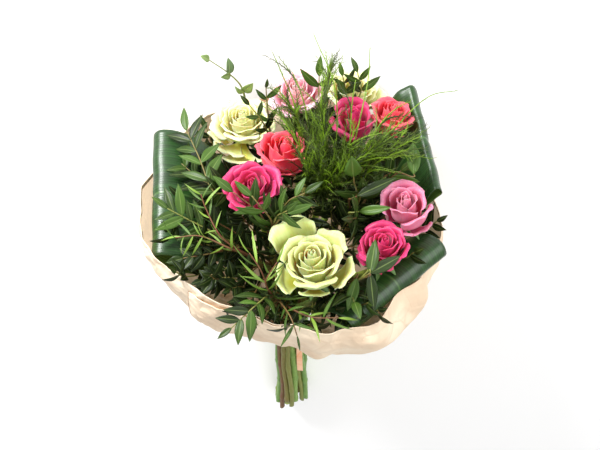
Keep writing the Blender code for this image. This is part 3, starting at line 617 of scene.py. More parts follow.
def leaf_grid(base, along, normal, length, width, arch=0.16, fold=0.3, rows=9, cols=5, bluntness=0.85):
    """Leaf blades, one for each row of base: the half width is sin(pi v^bluntness)^0.9, the midrib bends
    away from the normal by arch v^2, the halves rise by fold |u| and the rim waves a little."""
    base, along = np.atleast_2d(base), np.atleast_2d(along)
    normal = square_to(along, np.atleast_2d(normal))
    side = np.cross(normal, along)
    length, width = (np.reshape(np.broadcast_to(a, len(base)), (-1, 1, 1)) for a in (length, width))
    v, u = np.meshgrid(np.linspace(0, 1, rows), np.linspace(-1, 1, cols), indexing="ij")
    ends = np.where((v < 0.001) | (v > 0.999), 0.0, 1.0)
    half = 0.5 * width * np.maximum(np.sin(math.pi * np.clip(v, 0, 1) ** bluntness) ** 0.9, 0.05) * ends
    out = length * v - 0.5
    rise = fold * np.abs(u) * half - arch * length * v**2 + 0.04 * width * np.sin(9 * v + 4 * u) * np.abs(u)
    return (
        base[:, None, None]
        + out[..., None] * along[:, None, None]
        + (u * half)[..., None] * side[:, None, None]
        + rise[..., None] * normal[:, None, None]
    )


def strand_grid(base, along, bend, length, thick, rows=5):
    """Many thin three-sided strands: base + along s + bend s^2, tapering as 1 - 0.75 s."""
    side = square_to(along, (0.31, 0.52, 0.79))
    other = np.cross(along, side)
    s = np.linspace(0, 1, rows)
    length, reach = np.reshape(length, (-1, 1, 1)), s[None, :, None]
    middle = base[:, None] + along[:, None] * reach * length + bend[:, None] * reach**2
    around = np.linspace(0, 2 * math.pi, 4)
    ring = side[:, None] * np.cos(around)[None, :, None] + other[:, None] * np.sin(around)[None, :, None]
    girth = np.reshape(thick, (-1, 1, 1, 1)) * (1 - 0.75 * s)[None, :, None, None]
    return middle[:, :, None] + ring[:, None] * girth


# Materials


def node(tree, kind, inputs=None, **settings):
    """Adds a shader node, with values for its inputs or sockets to join them to."""
    made = tree.nodes.new("ShaderNode" + kind)
    for key, value in settings.items():
        setattr(made, key, value)
    for key, value in (inputs or {}).items():
        if isinstance(value, bpy.types.NodeSocket):
            tree.links.new(value, made.inputs[key])
        else:
            made.inputs[key].default_value = value
    return made


def sums(tree, operation, *values):
    """A maths node's result."""
    return node(tree, "Math", dict(enumerate(values)), operation=operation).outputs[0]


def times(tree, first, second):
    """The product of two values."""
    return sums(tree, "MULTIPLY", first, second)


def ramp(tree, value, low, high):
    """A value's smooth share of the way from low to high."""
    inputs = {"Value": value, "From Min": low, "From Max": high}
    return node(tree, "MapRange", inputs, interpolation_type="SMOOTHSTEP").outputs[0]


def ebb(tree, value, low, high):
    """What is left of one once a value's smooth share is taken off."""
    return sums(tree, "SUBTRACT", 1.0, ramp(tree, value, low, high))


def off_middle(tree, across):
    """How far a place across the piece is from its middle."""
    return sums(tree, "ABSOLUTE", sums(tree, "SUBTRACT", across, 0.5))


def ripples(tree, value, rate):
    """The sine of a value times a rate, halved and raised to run from 0 to 1."""
    return sums(tree, "MULTIPLY_ADD", sums(tree, "SINE", times(tree, value, rate)), 0.5, 0.5)


def blended(tree, share, first, second):
    """Two colours mixed by a share."""
    return node(tree, "Mix", {0: share, 6: first, 7: second}, data_type="RGBA", blend_type="MIX").outputs[2]


def noise(tree, vector, scale, detail=3.0, roughness=0.5):
    """A noise texture's value."""
    inputs = {"Vector": vector, "Scale": scale, "Detail": detail, "Roughness": roughness}
    return node(tree, "TexNoise", inputs).outputs[0]


def effect(name, colours, outputs, build):
    """A node group made once: colour inputs, and outputs named with their socket kinds."""
    found = bpy.data.node_groups.get(name)
    if found:
        return found
    tree = bpy.data.node_groups.new(name, "ShaderNodeTree")
    for label in colours:
        tree.interface.new_socket(label, in_out="INPUT", socket_type="NodeSocketColor")
    for label, kind in outputs:
        tree.interface.new_socket(label, in_out="OUTPUT", socket_type=kind)
    given = tree.nodes.new("NodeGroupInput")
    wanted = tree.nodes.new("NodeGroupOutput")
    for label, socket in build(tree, given.outputs).items():
        tree.links.new(socket, wanted.inputs[label])
    return tree


def shape_coordinates(tree):
    """The piece's UVs as (across, along), and its tone."""
    uv = node(tree, "UVMap", uv_map="shape").outputs[0]
    split = node(tree, "SeparateXYZ", {0: uv})
    tone = node(tree, "Attribute", attribute_name="tone").outputs["Fac"]
    return uv, split.outputs[0], split.outputs[1], tone


def petal_effect(tree, given):
    """Petal colour: heart to body to rim along the petal, streaked by fine veins that fan outwards."""
    uv, across, along, tone = shape_coordinates(tree)
    veins = noise(tree, node(tree, "Mapping", {0: uv, 3: (26, 2.2, 1)}).outputs[0], 1.0, 4.0, 0.6)
    clouds = noise(tree, node(tree, "TexCoord").outputs["Object"], 60.0, 2.0)
    side = off_middle(tree, across)
    edge = sums(tree, "MAXIMUM", ramp(tree, along, 0.72, 1.0), ramp(tree, side, 0.36, 0.5))
    colour = blended(tree, ramp(tree, along, 0.05, 0.6), given["Heart"], given["Body"])
    colour = blended(tree, times(tree, edge, 0.75), colour, given["Rim"])
    shade = times(tree, ramp(tree, veins, 0.35, 0.75), 0.35)
    colour = blended(tree, shade, colour, given["Heart"])
    colour = blended(tree, times(tree, ramp(tree, clouds, 0.4, 0.7), 0.3), colour, given["Rim"])
    colour = blended(tree, times(tree, tone, 0.35), colour, given["Heart"])
    return {"Colour": colour, "Height": sums(tree, "ADD", veins, times(tree, clouds, 0.4))}


def blade_effect(tree, given):
    """Leaf colour: dark to light by tone and noise, with a pale midrib and slanting side veins."""
    _, across, along, tone = shape_coordinates(tree)
    side = off_middle(tree, across)
    rib = ebb(tree, side, 0.0, 0.07)
    slant = sums(tree, "SUBTRACT", along, times(tree, side, 0.5))
    veins = ripples(tree, slant, 75.0)
    clouds = noise(tree, node(tree, "TexCoord").outputs["Object"], 90.0, 3.0)
    share = sums(tree, "ADD", times(tree, tone, 0.9), times(tree, clouds, 0.4))
    colour = blended(tree, ramp(tree, share, 0.1, 1.15), given["Dark"], given["Light"])
    colour = blended(tree, times(tree, veins, 0.12), colour, given["Light"])
    colour = blended(tree, times(tree, rib, 0.42), colour, given["Rib"])
    height = sums(tree, "ADD", times(tree, veins, 0.25), times(tree, rib, -1.0))
    return {"Colour": colour, "Height": height}


def paper_effect(tree, given):
    """Kraft paper: fibre specks and soft blotches of colour, small facets and a net of fine creases whose
    lines are darkened as painted shade, and a dark line of painted shade along the sheet's first edge."""
    place = node(tree, "TexCoord").outputs["Object"]
    # Painted shade: a thin dark line along the sheet's first edge, where its overlapping edge casts shade
    cut = ebb(tree, shape_coordinates(tree)[1], 0.0005, 0.0022)
    fibres = noise(tree, place, 900.0, 4.0, 0.7)
    blotches = noise(tree, place, 18.0, 3.0)
    nets = [
        node(tree, "TexVoronoi", {"Vector": place, "Scale": scale}, feature="DISTANCE_TO_EDGE").outputs[0]
        for scale in (24.0, 55.0)
    ]
    lines = [ebb(tree, net, 0.0, width) for net, width in zip(nets, (0.035, 0.06))]
    gate = ramp(tree, noise(tree, place, 14.0, 2.0), 0.4, 0.58)
    creases = times(tree, sums(tree, "MULTIPLY_ADD", lines[1], 0.5, lines[0]), gate)
    colour = blended(tree, ramp(tree, blotches, 0.3, 0.7), given["Dark"], given["Light"])
    colour = blended(tree, times(tree, ramp(tree, fibres, 0.5, 0.8), 0.3), colour, given["Dark"])
    # Painted shade: the crease lines darken the colour
    colour = blended(tree, times(tree, creases, 0.5), colour, given["Dark"])
    colour = blended(tree, times(tree, cut, 0.7), colour, given["Edge"])
    facets = sums(tree, "SUBTRACT", times(tree, nets[0], 14.0), times(tree, nets[1], 9.0))
    height = sums(tree, "MULTIPLY_ADD", fibres, 0.1, sums(tree, "MULTIPLY_ADD", creases, -0.5, facets))
    return {"Colour": colour, "Height": height}


def broad_leaf_effect(tree, given):
    """Folded leaf colour: many fine veins run the leaf's length, with lighter bands between them."""
    uv, across, _, _ = shape_coordinates(tree)
    fine = noise(tree, node(tree, "Mapping", {0: uv, 3: (150, 0.8, 1)}).outputs[0], 1.0, 2.0)
    bands = noise(tree, node(tree, "Mapping", {0: uv, 3: (34, 0.6, 1)}).outputs[0], 1.0, 2.0)
    waves = ripples(tree, across, 330.0)
    side = off_middle(tree, across)
    rib = ebb(tree, side, 0.0, 0.016)
    share = sums(tree, "MULTIPLY_ADD", waves, 0.35, times(tree, ramp(tree, bands, 0.3, 0.7), 0.65))
    colour = blended(tree, share, given["Dark"], given["Light"])
    colour = blended(tree, times(tree, rib, 0.4), colour, given["Rib"])
    height = sums(tree, "ADD", times(tree, waves, 0.5), times(tree, fine, 0.8))
    return {"Colour": colour, "Height": sums(tree, "SUBTRACT", height, times(tree, rib, 1.0))}


def stem_effect(tree, given):
    """Stem colour: long streaks between two tones, with darker spots and a tone for each stem."""
    place = node(tree, "TexCoord").outputs["Object"]
    streaks = noise(tree, node(tree, "Mapping", {0: place, 3: (500, 60, 500)}).outputs[0], 1.0, 3.0)
    spots = noise(tree, place, 420.0, 2.0)
    tone = shape_coordinates(tree)[3]
    share = sums(tree, "ADD", times(tree, tone, 0.7), times(tree, streaks, 0.45))
    colour = blended(tree, ramp(tree, share, 0.2, 0.9), given["Dark"], given["Light"])
    colour = blended(tree, times(tree, ramp(tree, spots, 0.6, 0.75), 0.4), colour, given["Spot"])
    return {"Colour": colour, "Height": sums(tree, "ADD", streaks, spots)}


EFFECTS = {
    "petal": (("Heart", "Body", "Rim"), petal_effect),
    "blade": (("Dark", "Light", "Rib"), blade_effect),
    "paper": (("Dark", "Light", "Edge"), paper_effect),
    "broad_leaf": (("Dark", "Light", "Rib"), broad_leaf_effect),
    "stem": (("Dark", "Light", "Spot"), stem_effect),
}


def material(name, kind, colours, roughness, bump, depth, **constants):
    """A Principled material that takes its colour and relief from one of the effects."""
    made = bpy.data.materials.new(name)
    made.use_nodes = True
    tree = made.node_tree
    surface = tree.nodes["Principled BSDF"]
    labels, build = EFFECTS[kind]
    outputs = (("Colour", "NodeSocketColor"), ("Height", "NodeSocketFloat"))
    placed_effect = tree.nodes.new("ShaderNodeGroup")
    placed_effect.node_tree = effect(kind + "_surface", labels, outputs, build)
    for label, colour in zip(labels, colours):
        placed_effect.inputs[label].default_value = (*colour, 1)
    relief = node(tree, "Bump", {"Height": placed_effect.outputs["Height"]})
    relief.inputs["Strength"].default_value = bump
    relief.inputs["Distance"].default_value = depth
    tree.links.new(placed_effect.outputs["Colour"], surface.inputs["Base Color"])
    tree.links.new(relief.outputs[0], surface.inputs["Normal"])
    surface.inputs["Roughness"].default_value = roughness
    for label, value in constants.items():
        surface.inputs[label.replace("_", " ").title().replace("Ior", "IOR")].default_value = value
    return made


# Shapes


def floor_y(z):
    """The y of the table at a height z up the stems."""
    return -(LIFT + z * math.sin(LIE_TILT)) / math.cos(LIE_TILT)


def crumple(points, rng, size, count):
    """Crumpled relief in flat facets: a point belongs to the nearest A of count centres and rises, times a
    random lift for A, by its distance to the nearest plane midway between A and another centre B, which
    is (b^2 - a^2) / (2 |B - A|) at distances a and b from them."""
    flat = points.reshape(-1, 3)
    centres = flat[rng.choice(len(flat), count, replace=False)] + rng.normal(0, size * 0.2, (count, 3))
    lift = rng.uniform(0.4, 1.0, count) * rng.choice((-1.0, 1.0), count)
    relief = np.empty(len(flat))
    for first in range(0, len(flat), 8192):
        part = flat[first:first + 8192]
        away = ((part[:, None] - centres[None]) ** 2).sum(-1)
        order = np.argpartition(away, 7, axis=1)[:, :8]
        near = np.take_along_axis(away, order, 1)
        sorting = near.argsort(1)
        order, near = np.take_along_axis(order, sorting, 1), np.take_along_axis(near, sorting, 1)
        apart = np.linalg.norm(centres[order[:, 1:]] - centres[order[:, :1]], axis=2)
        relief[first:first + 8192] = ((near[:, 1:] - near[:, :1]) / (2 * apart)).min(1) * lift[order[:, 0]]
    return relief.reshape(points.shape[:-1])


def dent(around, depth, middle, width):
    """A dent in the wrap: depth times e to the power of minus ((angle - middle) / width) squared."""
    return depth * np.exp(-(((np.degrees(around) % 360 - middle) / width) ** 2))


def wrap_grid(crumpling, rows=130, cols=470):
    """The wrap, one sheet that overlaps itself: radius and height follow the outline and the plan, gathered
    pleats fade out from the neck, its front is flatter and its rim tucked in round the front leaf, facets
    crumple it, its first edge lies outside its last one and lower, and past the rim it turns over by a
    narrow hem."""
    rng = np.random.default_rng(WRAP_SEED)
    v, u = np.meshgrid(np.linspace(0, 1 + HEM, rows), np.linspace(0, 1, cols), indexing="ij")
    run = u * (2 * math.pi + OVERLAP)
    around = OVERLAP_START + run
    loose = 1 - smooth_step(run, 0, OVERLAP)
    lap = 1.7 * loose + 0.9 * (1 - smooth_step(run, OVERLAP, 1.5 * OVERLAP))
    lap -= 0.9 * smooth_step(run, 2 * math.pi - 0.5 * OVERLAP, 2 * math.pi)
    widest, rim = np.moveaxis(eased(np.degrees(around) % 360, WRAP_PLAN), -1, 0)
    outline = smooth_path(WRAP_OUTLINE, 141)
    stations = np.linspace(0, 1, len(outline))
    outer = np.minimum(v, 1)
    up, reach = (np.interp(outer, stations, column) for column in outline.T)
    over = np.clip(v - 1, 0, None) / HEM
    gather = np.abs(((around * 13 / math.pi + 0.25 * np.sin(3 * around)) % 1) - 0.5) * 4 - 1
    pleats = np.sin(9 * around + 0.6) * 1.6 + np.sin(14 * around + 2.2) * 1.2
    r = NECK + (widest - NECK) * reach + pleats * reach * np.sin(math.pi * outer) ** 0.5
    r += gather * 5.5 * smooth_step(outer, 0.08, 0.24) * (1 - smooth_step(outer, 0.3, 0.8))
    r -= dent(around, *FLAT_FRONT) * np.sin(math.pi * outer) ** 0.8
    r -= dent(around, *LEAF_TUCK) * smooth_step(outer, 0.75, 1.0)
    lip = 2.2 * np.sin(3 * around + 1.0) + 1.4 * np.sin(7 * around) + 0.6 * np.sin(13 * around + 2)
    z = WAIST_Z - 10 + (rim + lip - 11 * loose**2 - WAIST_Z + 10) * up
    turn = np.minimum(over * 2, 1) * math.pi
    r += lap * smooth_step(outer, 0.05, 0.3) - 0.35 * (1 - np.cos(turn)) - 0.4 * over
    z += 0.35 * np.sin(turn) - 8 * np.clip(over - 0.5, 0, None)
    points = np.stack([r * np.cos(around), r * np.sin(around), z], -1)
    amount = crumpling * (0.35 + 0.65 * smooth_step(outer, 0.1, 0.5))
    relief = sum(crumple(points, rng, size, count) * share for size, count, share in FACETS)
    outwards = np.stack([np.cos(around), np.sin(around), np.zeros_like(r)], -1)
    points = points + outwards * (relief * amount * smooth_step(outer, 0.02, 0.16))[..., None]
    points[..., 1] = np.maximum(points[..., 1], floor_y(points[..., 2]) + 0.35 - 0.3 * np.sign(lap))
    return points


def petal_grid(
    angle, width, root, foot, body, top, opening, curl, share, flat, wave, phase, rows=21, cols=17
):
    """Petals about the bloom's axis. The reach s is v (1 - 0.2 |u|^2.4) with a small point at the rim's
    middle. A petal swells from its root to its body's radius; its slope from the axis is opening over
    the upper half and curl over the last share, more at the corners; the running sums of the slope's
    sine and cosine give radius and height. Its edges stand out by flat u^2, and waves grow to the rim."""
    given = (angle, width, root, foot, body, top, opening, curl, share, flat, wave, phase)
    angle, width, root, foot, body, top, opening, curl, share, flat, wave, phase = (
        np.reshape(np.asarray(a, float), (-1, 1, 1)) for a in given
    )
    v, u = np.meshgrid(np.linspace(0, 1, rows), np.linspace(-1, 1, cols), indexing="ij")
    edge = np.abs(u)
    s = v * (1 - 0.2 * edge**2.4 + 0.03 * np.exp(-((u / 0.13) ** 2)))
    corner = smooth_step(edge, 0.3, 1.0)
    slope = opening * smooth_step(s, 0.3, 0.95)
    slope = slope + curl * (0.75 + 0.9 * corner) * smooth_step(s, 1 - share * (1 + 0.6 * corner), 1.03)
    step = np.diff(s, axis=0, prepend=0)
    rise, out = np.cumsum(np.cos(slope) * step, axis=1), np.cumsum(np.sin(slope) * step, axis=1)
    length = (top - foot) / rise[:, :, cols // 2].max(axis=1)[:, None, None]
    swell = np.sin(np.minimum(s / 0.42, 1) * math.pi / 2)
    ripple = wave * (np.sin(5.5 * u + phase) + 0.5 * np.sin(10 * u + 2.1 * phase)) * s**2
    r = root + (body - root) * swell + length * out + flat * edge**2 * s + 0.8 * ripple
    r = r + 1.3 * u * np.minimum(1, 3 * s) + 0.45 * np.exp(-((u / 0.09) ** 2)) * s
    h = foot + length * rise + 0.6 * ripple
    narrow = (body / np.maximum(r, body)) ** 0.6
    phi = angle + u * width * (0.35 + 0.65 * np.sin(np.minimum(s / 0.55, 1) * math.pi / 2)) * narrow
    return np.stack([r * np.cos(phi), r * np.sin(phi), h], -1)


def nodding_head(name):
    """Where the head sits once it hangs and nods, and its axis."""
    base, axis = rose_base(name)
    nod, (left, front) = ROSES[name][7:9]
    return base + left * LEFTWARDS + front * FRONTWARDS, unit(axis + (*nod[:2], 0.0))


def rose_petals(name, phase, roll):
    """A bloom: petals at steps of the golden angle, from a tight spiral heart to open outer ones, then the
    wide guard petals below."""
    _, _, _, size, count, openness, ruffle, (_, _, grow), _, guards = ROSES[name]
    rng = np.random.default_rng(SEED + 7 * sum(map(ord, name)))
    t = np.arange(count) / (count - 1)
    angle = phase + GOLDEN_ANGLE * np.arange(count) + rng.uniform(-0.2, 0.2, count)
    inner = np.arange(count)
    outer = np.clip((inner - HEART_PETALS) / (count - 1 - HEART_PETALS), 0, 1)
    body = np.where(inner < HEART_PETALS, 1.5 + 0.95 * inner, 8.2 + 13.8 * outer**0.9)
    dip = 1.2 * np.clip(1 - t / 0.15, 0, 1) ** 2
    top = 45.5 - dip - (9 + 8 * openness) * t**1.5 + rng.uniform(-2.2, 2.2, count) * t
    foot = 27 * (1 - t) ** 1.5 + 4
    size = size * grow
    width = 0.9 + 0.1 * (count < 16) + 0.8 * (1 - t) ** 2.2
    opening = openness * 1.05 * t**1.8 - (0.42 - 0.2 * openness) * (1 - t)
    curl = (1.15 - 0.55 * openness) * roll * (0.35 + 1.5 * t + rng.uniform(-0.35, 0.35, count))
    grid = petal_grid(
        angle, width, (1.2 + 6.5 * t) * size, foot * size, body * size, top * size, opening, curl,
        0.12 + 0.13 * t, size * (-1.0 + 3.0 * t), ruffle * (0.15 + 0.75 * t**1.2), rng.uniform(0, 6.3, count),
    )
    patches = Patches()
    base, axis = nodding_head(name)
    # Each petal's tone is random, plus more for the inner petals; it draws the colour towards the heart
    # colour, which on the face side is painted shade, so the bloom's middle is painted darker
    patches.add(placed(grid, base, axis), rng.uniform(0, 0.6, count) + 0.4 * (1 - t))
    for k, (degrees, reach, high) in enumerate(guards):
        guard = petal_grid(
            math.radians(degrees), 0.62, 7.0 * size, 4.0 * size, (reach - 11) * size, high * size,
            1.0, 0.9, 0.25, 2.5, 1.3 + 0.5 * ruffle, 1.3 * k, rows=27, cols=21,
        )
        patches.add(placed(guard, base, axis), 0.15)
    return patches


def stem_tube(name, taper, sides=14):
    """A stem: its line, bent to a hanging head or a blade's foot by a smooth step, as a tube that tapers
    above the tie, swollen by 22% at each node, uneven around and swaying below the tie, its lower end
    cut at a slant."""
    radius, points = ROUTES[name]
    rng = np.random.default_rng(SEED + 3 * sum(map(ord, name)))
    line = stem_line(points, 3.0)
    end = points[-1]
    if name in ROSES:
        head, axis = nodding_head(name)
        end = head - axis * CALYX_HIGH
    if name in ASPIDISTRA:
        middle, _, inwards = fold_frame(name)
        out, up = ASPIDISTRA[name][3][0]
        end = middle - inwards * out + (0, 0, up)
    line = line + smooth_step(line[:, 2:], points[-1, 2] - HANGING, points[-1, 2]) * (end - points[-1])
    z = line[:, 2:]
    radii = np.interp(z, (WAIST_Z, points[-1, 2]), (radius, radius * taper))
    joints = np.arange(rng.uniform(0, 30) + LOWEST_Z, 420, rng.uniform(34, 52))
    swell = np.exp(-(((z - joints[None]) / 2.6) ** 2)).sum(1, keepdims=True)
    around = np.linspace(0, 2 * math.pi, sides + 1)
    uneven = 0.035 * np.sin(2 * around + z / 17) + 0.02 * np.sin(5 * around + z / 7)
    low = smooth_step(WAIST_Z - z, 10, 90)
    sway = np.concatenate([np.sin(z / 19 + rng.uniform(0, 6)), np.cos(z / 23 + rng.uniform(0, 6)), 0 * z], 1)
    line = line + 1.1 * low * sway
    grid = tube_grid(line, radii * (0.95 + 0.22 * swell + uneven), sides)
    slant = (grid[:2] - line[0]) @ np.array([*unit(rng.normal(size=2)), 0.0])
    grid[:2, :, 2] += 0.6 * slant
    return line, grid


def calyx_grids(name):
    """A calyx as a turned cup, and its five sepals, which hang outwards from the cup's rim."""
    base, axis = nodding_head(name)
    profile = smooth_path(((0.2, -0.3), (6.2, -0.4), (6.0, -4.0), (4.6, -8.0), (3.1, -12.0)), 17)
    around = np.linspace(0, 2 * math.pi, 17)
    r, h = profile[:, :1], profile[:, 1:]
    cup = np.stack([r * np.cos(around), r * np.sin(around), h + 0 * around], -1)
    turns = 2 * math.pi * np.arange(5) / 5
    out = np.stack([np.cos(turns), np.sin(turns), 0 * turns - 0.35], -1)
    start = np.stack([5.2 * np.cos(turns), 5.2 * np.sin(turns), 0 * turns - 1.4], -1)
    up = np.broadcast_to((0, 0, 1.0), out.shape)
    sepals = leaf_grid(start, unit(out), up, 17.0, 6.5, arch=0.3, fold=0.2, bluntness=0.6)
    return placed(cup, base, axis), placed(sepals, base, axis)


def broad_leaf_grid(name, rows=90, cols=41):
    """A folded leaf: it follows the path over its fold, its half width is read from the table of widths,
    its halves lift towards the petiole, its back corner stays up, and it ripples gently across."""
    middle, half, inwards = fold_frame(name)
    turned = np.sign(np.cross(half, -inwards)[2])
    half = half * turned
    route = smooth_path(ASPIDISTRA[name][3], 161)
    run = np.concatenate([[0], np.cumsum(np.linalg.norm(np.diff(route, axis=0), axis=1))])
    v, u = np.meshgrid(np.linspace(0, 1, rows), np.linspace(-1, 1, cols), indexing="ij")
    out, up = (np.interp(v, run / run[-1], route[:, k]) for k in (0, 1))
    widths = smooth_path(BLADE_WIDTHS, 61)
    wide = np.interp(v, widths[:, 0], widths[:, 1])
    hug = np.clip(1 - v / 0.5, 0, 1) * (u * wide) ** 2 * 16.0
    up = up + ASPIDISTRA[name][4] * smooth_step(turned * u, 0.55, 1.0) * np.exp(-(((v - 0.5) / 0.1) ** 2))
    ripple = 0.5 * np.sin(7 * u + 5 * v) + 0.3 * np.sin(13 * u - 9 * v) - 1.6 * np.exp(-((u / 0.05) ** 2))
    centre = middle + inwards * (hug - out - 0.7 * ripple)[..., None]
    centre = centre + (up + 0.4 * ripple)[..., None] * (0, 0, 1.0)
    return centre + half * (u * wide)[..., None]


def search_tree(points, faces):
    """A search tree of a surface, laid down."""
    return BVHTree.FromPolygons(laid(points).reshape(-1, 3).tolist(), faces.tolist())


def grid_tree(grid):
    """A search tree of one grid."""
    return search_tree(grid, grid_faces(*grid.shape[:2]))


def solid_trees(roll, crumpling):
    """Search trees of every bloom and broad leaf, and of the wrap."""
    blooms = [rose_petals(name, PETAL_TURN * k, roll) for k, name in enumerate(ROSES)]
    trees = [search_tree(np.concatenate(bloom.points), np.concatenate(bloom.faces)) for bloom in blooms]
    return trees + [grid_tree(grid) for grid in (*map(broad_leaf_grid, ASPIDISTRA), wrap_grid(crumpling))]


def clear_of_solids(grid, solids):
    """True if a grid meets none of the search trees."""
    tree = grid_tree(grid)
    return not any(tree.overlap(solid) for solid in solids)


def along_path(path, share):
    """The place at a share of a path's points, and the path's direction there."""
    place = share * (len(path) - 1)
    i = min(int(place), len(path) - 2)
    return path[i] + (path[i + 1] - path[i]) * (place - i), unit(path[i + 1] - path[i])


def grown_path(start, way, steps):
    """A twig's or a frond's path through way, with steps points to each part, rooted 2 mm inside the stem
    whose last two points are start."""
    route = np.vstack([start, np.array(way, float)])
    path = smooth_path(route, steps * (len(route) - 1) + 1)[steps:]
    return np.vstack([start[-1] - 2.0 * unit(start[-1] - start[-2]), path[1:]])


def clear_leaf(base, tangent, side, face, length, width, solids):
    """The pose of a leaf that meets no bloom, broad leaf or paper, as (along, share of size), or None."""
    for splay, pitch, share in LEAF_POSES:
        along = unit(tangent * math.cos(splay) + side * math.sin(splay) + face * pitch)
        grid = leaf_grid(base, along, face, length * share, width * share, rows=5, cols=3)[0]
        if clear_of_solids(grid, solids):
            return along, share
    return None


def hides_head(points, reach):
    """For each row of points, whether any of them stands in front of a head, nearer than reach times its
    size, or a share of its guard petals' reach, to the line of sight through its middle."""
    hidden = np.zeros(len(points), bool)
    for name in ROSES:
        base, axis = nodding_head(name)
        away = points - (base + axis * BLOOM_MIDDLE)
        depth = away @ FACE
        across = np.linalg.norm(away - depth[..., None] * FACE, axis=-1)
        wide = max([reach, *(guard[1] * reach / 34 for guard in ROSES[name][9])])
        hidden |= ((across < wide * ROSES[name][3]) & (depth > -10)).any(-1)
    return hidden


def unshaded_share(points, low, high):
    """How near points are to the bunch's dome: the smooth step of z + 0.0016 (x^2 + y^2); it scales the tones
    of leaves and fern, giving those deep in the bunch painted shade.
    """
    return smooth_step(points[..., 2] + 0.0016 * (points[..., :2] ** 2).sum(-1), low, high)


def leafy_twig(patches, start, way, pairs, size, radius, kind, rng, solids, lightest=1.0):
    """A twig with leaves in staggered pairs and one at its tip, growing on from a stem's end. With no
    pairs its one leaf keeps its full size."""
    path = grown_path(start, way, 8)
    green = 1.0 if kind == "sprig" else rng.uniform(0.2, 0.8) * (0.3 if kind == "young" else 1.0)
    patches.add(tube_grid(path, 0.5 + (radius - 0.5) * np.linspace(1, 0, len(path)) ** 2, 7), green, 1)
    rows = []
    loose, spread, arch = (1.2, 0.8, 0.55) if kind == "young" else (0.4, 0.25, 0.2)
    if not pairs:
        loose, arch = 0.0, 0.1
    for k, share in enumerate(np.linspace(1.0, 0.28, pairs + 1)):
        base, tangent = along_path(path, share)
        face = unit(square_to(tangent, FACE) + loose * rng.uniform(-1, 1, 3))
        side = np.cross(face, tangent)
        for step, outward in ((0, side * 0),) if k == 0 else ((0, side), (2.2, -side)):
            drawn = rng.uniform(0.66 if kind == "young" else 0.72, 1.4 if kind == "young" else 1.18)
            length, width = np.array(size) * (drawn * (0.82 + 0.18 * min(k, 1)) if pairs else 1.0)
            turned = unit(tangent + spread * rng.uniform(-1, 1, 3)) if pairs else tangent
            found = clear_leaf(base + tangent * step, turned, outward, face, length, width, solids)
            if found:
                rows.append((base + tangent * step, found[0], face, length * found[1], width * found[1]))
    if rows:
        bases, alongs, faces, lengths, widths = (np.array(column) for column in zip(*rows))
        blunt = 0.7 if kind == "sprig" else 0.85
        grid = leaf_grid(bases, alongs, faces, lengths, widths, arch=arch, bluntness=blunt)
        # Painted shade: the random tone falls off for leaves deep under the dome, towards the near-black dark
        # colour
        tones = rng.uniform(0.1, lightest, len(rows)) * unshaded_share(bases, *LEAF_SHADE_HEIGHTS)
        patches.add(grid, tones, 2 if kind == "young" else 0)


def frond(patches, start, way, fullness, rng):
    """A fern frond: a thin rib, long strands that leave it at a narrow angle and droop, and short needles
    along the strands; a bare tip has only sparse bristles."""
    path = grown_path(start, way, 10)
    patches.add(tube_grid(path, np.linspace(1.0, 0.42, len(path)), 6), 0.6, 0)
    count = int(60 * fullness) if fullness else 16
    shares = np.linspace(0.0, 0.85, count) if fullness else np.linspace(0.4, 1.0, count)
    bases, tangents = (np.array(column) for column in zip(*(along_path(path, s) for s in shares)))
    turns = 2.4 * np.arange(count) + rng.uniform(-0.4, 0.4, count)
    side = square_to(tangents, FACE)
    other = np.cross(tangents, side)
    outward = side * np.cos(turns)[:, None] + other * np.sin(turns)[:, None]
    splay = rng.uniform(0.1, 0.42, count)[:, None] * (1.2 - 0.6 * shares[:, None])
    along = unit(tangents * np.cos(splay) + outward * np.sin(splay))
    if not fullness:
        lengths, girths = rng.uniform(3, 9, count), np.full(count, BRISTLE_GIRTH)
        patches.add(strand_grid(bases, along, along * 0, lengths, girths, 3), rng.uniform(0, 1, count), 0)
        return
    lengths = rng.uniform(26, 66, count) * (1.1 - 0.5 * shares)
    bend = outward * rng.uniform(0, 12, count)[:, None] + rng.normal(0, 4.0, (count, 3)) - (0, 0, 5)
    ends = bases + along * lengths[:, None] + bend
    kept = ~hides_head(np.stack([bases + (ends - bases) * s for s in (0.3, 0.65, 1.0)], 1), 26.0)
    kept |= rng.uniform(0, 1, count) < CROSSING
    bases, along, bend, lengths, outward = (a[kept] for a in (bases, along, bend, lengths, outward))
    count = len(bases)
    middles = bases + 0.5 * along * lengths[:, None]
    # Painted shade: strands deep under the dome get darker tones
    tones = rng.uniform(0, 1, count) ** 1.6 * (0.12 + 0.88 * unshaded_share(middles, *FERN_SHADE_HEIGHTS))
    patches.add(strand_grid(bases, along, bend, lengths, np.full(count, STRAND_GIRTH), 7), tones, 0)
    s = np.linspace(0.1, 1.0, NEEDLES_EACH)[None, :, None]
    spots = bases[:, None] + along[:, None] * s * lengths[:, None, None] + bend[:, None] * s**2
    spots = spots.reshape(-1, 3)
    heading = unit(along[:, None] * lengths[:, None, None] + 2 * bend[:, None] * s)
    swing = np.repeat(square_to(heading[:, :1], FACE), NEEDLES_EACH, 1)
    swing = np.cross(heading, swing) * np.resize((1.0, -1.0), NEEDLES_EACH)[None, :, None]
    swing = swing.reshape(-1, 3) + rng.normal(0, 0.45, (len(spots), 3))
    heading = heading.reshape(-1, 3)
    way_out = unit(heading + square_to(heading, swing) * rng.uniform(0.35, 0.85, (len(spots), 1)))
    sizes = rng.uniform(3.5, 8.5, len(spots))
    grid = strand_grid(spots, way_out, way_out * 0, sizes, np.full(len(spots), NEEDLE_GIRTH), 2)
    patches.add(grid, np.repeat(tones, NEEDLES_EACH) * (0.7 + rng.uniform(0, 0.4, len(spots))), 0)


# Settings that a user would change


def length_property(name, description, default, least, most):
    """A length in metres that a user can set."""
    return bpy.props.FloatProperty(
        name=name, description=description + ", in metres",
        default=default, min=least, max=most, subtype="DISTANCE", unit="LENGTH",
    )


